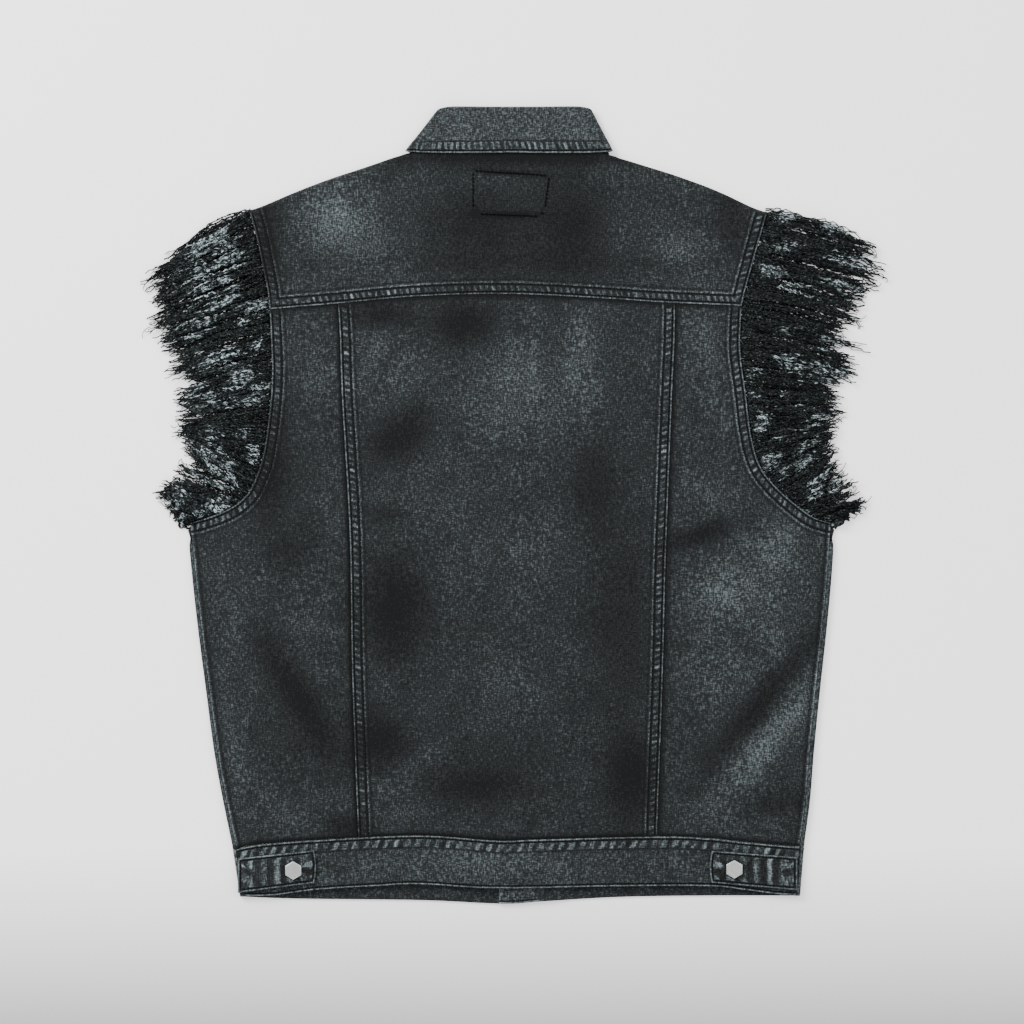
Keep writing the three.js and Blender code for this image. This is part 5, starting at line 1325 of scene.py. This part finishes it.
def washed_denim_group(colours):
    """Twill weave, wash fades, and the wear of folded seams with painted shade in their grooves and a painted
    shadow beyond their ridges.
    """
    group = new_group("washed denim", [
        ("Fade", "NodeSocketFloat", 0.0), ("Seam wear and shade", "NodeSocketFloat", 1.0),
        ("Dark", "NodeSocketColor", colours.denim_dark), ("Cloth", "NodeSocketColor", colours.denim_mid),
        ("Worn", "NodeSocketColor", colours.denim_pale),
    ], [("Colour", "NodeSocketColor"), ("Height", "NodeSocketFloat"), ("Roughness", "NodeSocketFloat")])
    tree = Tree(group)
    given = tree.node("NodeGroupInput").outputs
    spot = tree.millimetres()
    along, distance, lapped = tree.node("ShaderNodeSeparateXYZ", {0: tree.value_of("seam", "Vector")}).outputs
    tone = tree.value_of("tone")

    warp = tree.noise(spot, WEAVE_SCALE, 1, 0.5, (1.0, 0.26, 1.0))
    weft = tree.noise(spot, WEAVE_SCALE, 1, 0.5, (0.32, 1.0, 1.0))
    weave = tree.spread(tree.add(warp, weft), 0.70, 1.30)
    fleck = tree.spread(tree.noise(spot, 0.62, 3, 0.7), 0.60, 0.74)
    cloud = tree.noise(spot, 0.045, 4, 0.6)
    patch = tree.noise(spot, 0.012, 3, 0.5)

    uneven = tree.noise(tree.on_line(along), 0.35, 3, 0.65)
    piping = tree.times(tree.hump(distance, *PIPING), tree.spread(uneven, 0.3, 0.62, 0.5, 1.0))
    far = tree.add(distance, tree.times(tree.maths("SUBTRACT", lapped, 1.0), UNLAPPED_SHIFT))
    far_groove = tree.times(tree.hump(far, *FAR_GROOVE), tree.spread(lapped, 0.0, 1.0, 0.4, 1.0))
    groove = tree.add(tree.hump(distance, *NEAR_GROOVE), far_groove, tree.hump(distance, *EDGE_GROOVE))
    ridge = tree.times(tree.hump(distance, *RIDGE), tree.spread(uneven, 0.3, 0.6, 0.5, 1.0))
    ridge = tree.times(ridge, lapped)
    outline = tree.times(tree.hump(distance, *OUTLINE), lapped)
    slanted = tree.on_line(tree.add(along, tree.times(distance, 0.3), tree.times(uneven, 5.0)))
    blocks = tree.noise(slanted, 0.17, 2, 0.6)
    rope = tree.node("ShaderNodeTexWave", {
        "Vector": slanted, "Scale": 0.060, "Distortion": 0.6, "Detail": 1.0, "Detail Scale": 1.0,
    }, bands_direction="X").outputs["Fac"]
    in_band = tree.times(tree.spread(distance, 2.7, 3.5), tree.spread(far, 7.9, 7.1))
    patchy = tree.spread(tree.noise(spot, 0.05, 2), 0.36, 0.62, 0.45, 1.0)
    mottled = tree.add(tree.times(tree.spread(rope, 0.2, 0.8), 0.55),
                       tree.spread(blocks, 0.35, 0.65, 0.0, 0.55))
    roping = tree.times(tree.times(tree.maths("SUBTRACT", mottled, 0.49), in_band), patchy)

    value = tree.add(PLAIN_CLOTH, given["Fade"], *tree.weighed(
        PALENESS, tone=tone, weave=tree.off_middle(weave), fleck=fleck, cloud=tree.off_middle(cloud),
        patch=tree.off_middle(patch)))
    # pale wear of the piping, ridge and roping, with painted shade in the grooves and along the outline
    worn = tree.add(*tree.weighed(
        SEAM_WEAR_AND_SHADE, piping=piping, groove=groove, outline=outline, roping=roping, ridge=ridge))
    value = tree.add(value, tree.times(worn, given["Seam wear and shade"]))
    low = tree.blend(tree.spread(value, 0.0, 0.48), given["Dark"], given["Cloth"])
    wear = tree.maths("POWER", tree.spread(value, 0.46, 1.25), 1.5)
    shade = tree.blend(wear, low, given["Worn"])
    height = tree.add(*tree.weighed(
        RELIEF, weave=weave, fleck=fleck, roping=roping, groove=groove, cloud=cloud))
    rough = tree.spread(value, 0.0, 1.0, 0.86, 0.97)
    tree.node("NodeGroupOutput", {"Colour": shade, "Height": height, "Roughness": rough})
    return group


def shader(name, **constants):
    """A new material with its tree and Principled shader. An underscore stands for a space."""
    material = bpy.data.materials.new(name)
    material.use_nodes = True
    tree = Tree(material.node_tree)
    surface = tree.node("ShaderNodeBsdfPrincipled")
    for label, value in constants.items():
        surface.inputs[label.replace("_", " ")].default_value = value
    tree.node("ShaderNodeOutputMaterial", {"Surface": surface.outputs[0]})
    return material, tree, surface


def relief(tree, surface, height, distance, strength=1.0):
    bump = tree.node("ShaderNodeBump", {"Height": height, "Distance": distance * MM, "Strength": strength})
    tree.feed(surface.inputs["Normal"], bump.outputs[0])


def denim_material(name, group, colours, extra_fade=0.0):
    material, tree, surface = shader(name, Specular_IOR_Level=0.14, Sheen_Weight=0.03, Sheen_Roughness=0.6)
    cloth = tree.node("ShaderNodeGroup", node_tree=group)
    for label, value in (("Fade", extra_fade), ("Seam wear and shade", 1.0), ("Dark", colours.denim_dark),
                         ("Cloth", colours.denim_mid), ("Worn", colours.denim_pale)):
        tree.feed(cloth.inputs[label], value)
    tree.feed(surface.inputs["Base Color"], cloth.outputs["Colour"])
    tree.feed(surface.inputs["Roughness"], cloth.outputs["Roughness"])
    relief(tree, surface, cloth.outputs["Height"], 0.55)
    return material


def thread_material(colours):
    material, tree, surface = shader("dark sewing thread", Roughness=0.95, Specular_IOR_Level=0.0)
    twist = tree.noise(tree.millimetres(), 2.4, 2, 0.6)
    tint = tree.blend(tree.times(twist, 0.4), colours.thread, colours.denim_mid)
    tree.feed(surface.inputs["Base Color"], tint)
    relief(tree, surface, twist, 0.1)
    return material


def yarn_material(colours):
    material, tree, surface = shader("unravelled yarn", Roughness=0.82, Specular_IOR_Level=0.10)
    spot = tree.millimetres()
    pale = tree.value_of("pale")
    fibre = tree.noise(spot, 0.60, 3, 0.7)
    clump = tree.noise(spot, 0.16, 2, 0.5)
    broken = tree.spread(tree.noise(spot, 0.26, 2, 0.6), 0.42, 0.55, 0.05, 1.0)
    amount = tree.add(tree.times(tree.times(pale, broken), tree.spread(fibre, 0.40, 0.55, 0.0, 1.5)),
                      tree.times(tree.spread(fibre, 0.55, 0.72), 0.16), tree.times(clump, 0.008))
    tint = tree.blend(tree.maths("MINIMUM", amount, 1.0), colours.yarn_dark, colours.yarn_pale)
    tree.feed(surface.inputs["Base Color"], tint)
    relief(tree, surface, fibre, 0.3)
    return material


def shaded(colour, share):
    return tuple(part * share for part in colour[:3]) + (1.0,)


def metal_material(colours):
    material, tree, surface = shader("satin silver", Metallic=1.0)
    spot = tree.millimetres()
    brushed = tree.noise(spot, 1.4, 3, 0.6, (1.0, 0.12, 1.0))
    worn = tree.noise(spot, 0.35, 3, 0.6)
    tree.feed(surface.inputs["Base Color"], tree.blend(worn, shaded(colours.metal, 0.8), colours.metal))
    tree.feed(surface.inputs["Roughness"], tree.spread(brushed, 0.2, 0.8, 0.38, 0.5))
    relief(tree, surface, brushed, 0.03)
    return material


FLOOR_GLOW = 0.42
FLOOR_SHADE = 0.36  # how light the floor is at its near end, as a share of the rest
FLOOR_SHADE_FROM, FLOOR_SHADE_TO = -290.0, -445.0  # places y between which it darkens


def floor_material(colours):
    material, tree, surface = shader("pale floor", Emission_Strength=FLOOR_GLOW, Roughness=0.85)
    grain = tree.noise(tree.millimetres(), 0.02, 2)
    lying_y = tree.node("ShaderNodeSeparateXYZ", {0: tree.millimetres()}).outputs[1]
    near = tree.spread(lying_y, FLOOR_SHADE_FROM, FLOOR_SHADE_TO)
    pale = tree.blend(grain, shaded(colours.floor, 0.985), colours.floor)
    tint = tree.blend(near, pale, shaded(colours.floor, FLOOR_SHADE))
    tree.feed(surface.inputs["Base Color"], tint)
    tree.feed(surface.inputs["Emission Color"], tint)
    return material


def finish(name):
    """A material by name, made the first time that it is asked for."""
    if name in bpy.data.materials:
        return bpy.data.materials[name]
    colours = bpy.context.scene.vest_colours
    group = bpy.data.node_groups.get("washed denim") or washed_denim_group(colours)
    makers = {
        "charcoal denim": lambda: denim_material(name, group, colours),
        "worn denim": lambda: denim_material(name, group, colours, 0.05),
        "dark sewing thread": lambda: thread_material(colours),
        "unravelled yarn": lambda: yarn_material(colours),
        "satin silver": lambda: metal_material(colours),
        "pale floor": lambda: floor_material(colours),
    }
    return makers[name]()


# Operators


def pitches():
    sizes = bpy.context.scene.vest_cloth
    return sizes.pitch / MM, sizes.hidden_pitch / MM


class VEST_OT_back(bpy.types.Operator):
    """Yoke, middle back and side back panels with their felled seams."""
    bl_idname = "vest.back"
    bl_label = "Back panels"

    def execute(self, context):
        pitch, _ = pitches()
        cloth = finish("charcoal denim")
        dress(yoke_piece(pitch), "yoke_back", cloth)
        dress(centre_piece(pitch), "back_centre", cloth)
        for side, which in SIDES.items():
            piece = side_piece(f"side_back_{side}", which, pitch)
            dress(piece, f"back_side_{side}", cloth)
        return {"FINISHED"}


class VEST_OT_waistband(bpy.types.Operator):
    """Waistband: a back piece and two fronts that wrap round the sides."""
    bl_idname = "vest.waistband"
    bl_label = "Waistband"

    def execute(self, context):
        pitch, hidden = pitches()
        cloth = finish("worn denim")
        dress(waistband_back_piece(pitch), "waistband_back", cloth)
        fronts = (("left", PLACKET_RIGHT, over_height), ("right", PLACKET_LEFT, waist_right_height))
        for side, inner_x, height in fronts:
            piece = waistband_front_piece(f"waistband_{side}", SIDES[side], inner_x, height, hidden * 0.7)
            dress(piece, f"waistband_front_{side}", cloth)
        return {"FINISHED"}


class VEST_OT_collar(bpy.types.Operator):
    """Collar folded over at its top, with a roped lower edge."""
    bl_idname = "vest.collar"
    bl_label = "Collar"

    def execute(self, context):
        pitch, _ = pitches()
        dress(collar_piece(pitch), "collar", finish("worn denim"))
        return {"FINISHED"}


class VEST_OT_fronts(bpy.types.Operator):
    """Hidden front panels and the doubled edges of the closing."""
    bl_idname = "vest.fronts"
    bl_label = "Fronts"

    def execute(self, context):
        _, pitch = pitches()
        cloth = finish("charcoal denim")
        fronts = (("left", PLACKET_LEFT - SEAM_GAP, front_left_height),
                  ("right", PLACKET_RIGHT + SEAM_GAP, front_right_height))
        for side, inner_x, height in fronts:
            piece = front_piece(f"front_panel_{side}", SIDES[side], inner_x, height, pitch)
            dress(piece, f"front_{side}", cloth)
        for side, height, rests_on in (("over", over_height, []), ("under", under_height, ["placket_over"])):
            piece = placket_piece(f"closing_{side}", height, pitch)
            dress(piece, f"placket_{side}", cloth)
        return {"FINISHED"}


class VEST_OT_tabs(bpy.types.Operator):
    """Waist tabs with their edges sewn round."""
    bl_idname = "vest.tabs"
    bl_label = "Waist tabs"

    def execute(self, context):
        for side, tab in TABS.items():
            piece = tab_piece(f"waist_tab_{side}", tab, TAB_PITCH)
            dress(piece, f"tab_{side}", finish("worn denim"))
        return {"FINISHED"}


class VEST_OT_buttons(bpy.types.Operator):
    """Six-sided tab buttons and the round buttons of the closing."""
    bl_idname = "vest.buttons"
    bl_label = "Buttons"

    def execute(self, context):
        metal = finish("satin silver")
        for side, tab in TABS.items():
            x, y = tab[-1]
            low = tab_seat(np.array(x), np.array(y)) + TAB_THICKNESS + SEAM_GAP
            button = press_button(f"tab_stud_{side}", x, y, float(low), *TAB_BUTTON, 1)
            settle(button, metal, "button_metal", f"tab_button_{side}")
        for index, row in enumerate(BUTTON_ROWS):
            name = f"closing_stud_{index + 1}"
            button = press_button(name, CLOSING_X, row, CLOSING_BUTTON_LOW, *CLOSING_BUTTON, -1)
            settle(button, metal, "button_metal", f"front_button_{index + 1}")
        return {"FINISHED"}


class VEST_OT_sewing(bpy.types.Operator):
    """Rows of stitches along the seams, and the sewn outline on the yoke."""
    bl_idname = "vest.sewing"
    bl_label = "Sewing"

    def execute(self, context):
        sizes = context.scene.vest_cloth
        thread = finish("dark sewing thread")
        lengths = (sizes.stitch_pitch, sizes.stitch_length, sizes.thread_radius)
        pitch, length, radius = (size / MM for size in lengths)
        settle(stitches("seam_stitches", SEWING, pitch, length, radius), thread, "denim")
        outline = np.array(PATCH_OUTLINE)
        share = np.linspace(0, 1, 24)[:, None]
        sides = [on_back(mix(start, end, share)) for start, end in zip(outline[:-1], outline[1:])]
        thick = stitches("yoke_outline", sides, pitch, length * PATCH_LENGTH, radius * PATCH_RADIUS)
        settle(thick, thread, "denim")
        return {"FINISHED"}


class VEST_OT_fringe(bpy.types.Operator):
    """Frayed yarn round both armholes."""
    bl_idname = "vest.fringe"
    bl_label = "Fringe"

    def execute(self, context):
        sizes = context.scene.vest_fringe
        yarn = finish("unravelled yarn")
        for number, side in enumerate(SIDES):
            for face, layer, locks, first in (("back", FRINGE_BACK, sizes.locks, 11),
                                              ("front", FRINGE_FRONT, sizes.hidden_locks, 31)):
                piece = fringe_piece(f"frayed_{face}_{side}", side, layer, locks, sizes, first + number)
                settle(piece, yarn, "yarn", f"fringe_{face}_{side}")
        return {"FINISHED"}


FRAME_WIDTH = 0.8704  # of the surface that the picture takes in
LENS, SENSOR = 200.0, 36.0
CAMERA_X, CAMERA_Y = -0.0013, -0.0055
# Name, place in metres, size and power
LIGHTS = [
    ("key", (-1.5, 1.3, 1.5), 1.1, 92),
    ("fill", (1.4, 0.4, 2.2), 2.0, 27),
    ("low", (-0.2, -1.8, 1.6), 1.6, 14),
]
SKY_LIGHT = 1.06


class VEST_OT_stage(bpy.types.Operator):
    """Pale floor, soft light from the upper left and a camera straight above."""
    bl_idname = "vest.stage"
    bl_label = "Floor, lights and camera"

    def execute(self, context):
        deselect()
        bpy.ops.mesh.primitive_plane_add(size=6, location=(0, 0, -0.0005))
        floor = context.object
        floor.name = "floor"
        floor.data.materials.append(finish("pale floor"))
        bpy.ops.object.transform_apply(location=True, rotation=True, scale=True)

        camera_data = bpy.data.cameras.new("camera above")
        camera_data.lens = LENS
        camera_data.sensor_width = SENSOR
        camera_data.clip_end = 50
        camera = bpy.data.objects.new("camera above", camera_data)
        camera.location = (CAMERA_X, CAMERA_Y, FRAME_WIDTH * LENS / SENSOR)
        context.scene.collection.objects.link(camera)
        context.scene.camera = camera

        for name, place, size, power in LIGHTS:
            light_data = bpy.data.lights.new(name, "AREA")
            light_data.size = size
            light_data.energy = power
            light = bpy.data.objects.new(name, light_data)
            light.location = place
            light.rotation_euler = (-Vector(place)).to_track_quat("-Z", "Y").to_euler()
            context.scene.collection.objects.link(light)

        world = bpy.data.worlds.new("soft studio")
        world.use_nodes = True
        backdrop = world.node_tree.nodes["Background"]
        backdrop.inputs[0].default_value = (1, 1, 1, 1)
        backdrop.inputs[1].default_value = SKY_LIGHT
        context.scene.world = world
        return {"FINISHED"}


OPERATORS = (VEST_OT_stage, VEST_OT_back, VEST_OT_waistband, VEST_OT_collar, VEST_OT_fronts, VEST_OT_tabs,
             VEST_OT_buttons, VEST_OT_sewing, VEST_OT_fringe)


class VEST_PT_panel(bpy.types.Panel):
    """Lists the steps that make the vest."""
    bl_label = "Vest"
    bl_space_type = "VIEW_3D"
    bl_region_type = "UI"
    bl_category = "Vest"

    def draw(self, context):
        for group in (context.scene.vest_cloth, context.scene.vest_fringe, context.scene.vest_colours):
            box = self.layout.box()
            for name in group.bl_rna.properties.keys():
                if name not in ("rna_type", "name"):
                    box.prop(group, name)
        for step in OPERATORS:
            self.layout.operator(step.bl_idname)


CLASSES = (ClothSizes, FringeSizes, VestColours, *OPERATORS, VEST_PT_panel)


def register():
    for kind in CLASSES:
        bpy.utils.register_class(kind)
    bpy.types.Scene.vest_cloth = PointerProperty(type=ClothSizes)
    bpy.types.Scene.vest_fringe = PointerProperty(type=FringeSizes)
    bpy.types.Scene.vest_colours = PointerProperty(type=VestColours)


def unregister():
    for name in ("vest_colours", "vest_fringe", "vest_cloth"):
        delattr(bpy.types.Scene, name)
    for kind in reversed(CLASSES):
        bpy.utils.unregister_class(kind)


def main():
    register()
    for step in OPERATORS:
        family, name = step.bl_idname.split(".")
        getattr(getattr(bpy.ops, family), name)()
    bpy.context.view_layer.update()


if __name__ == "__main__":
    main()
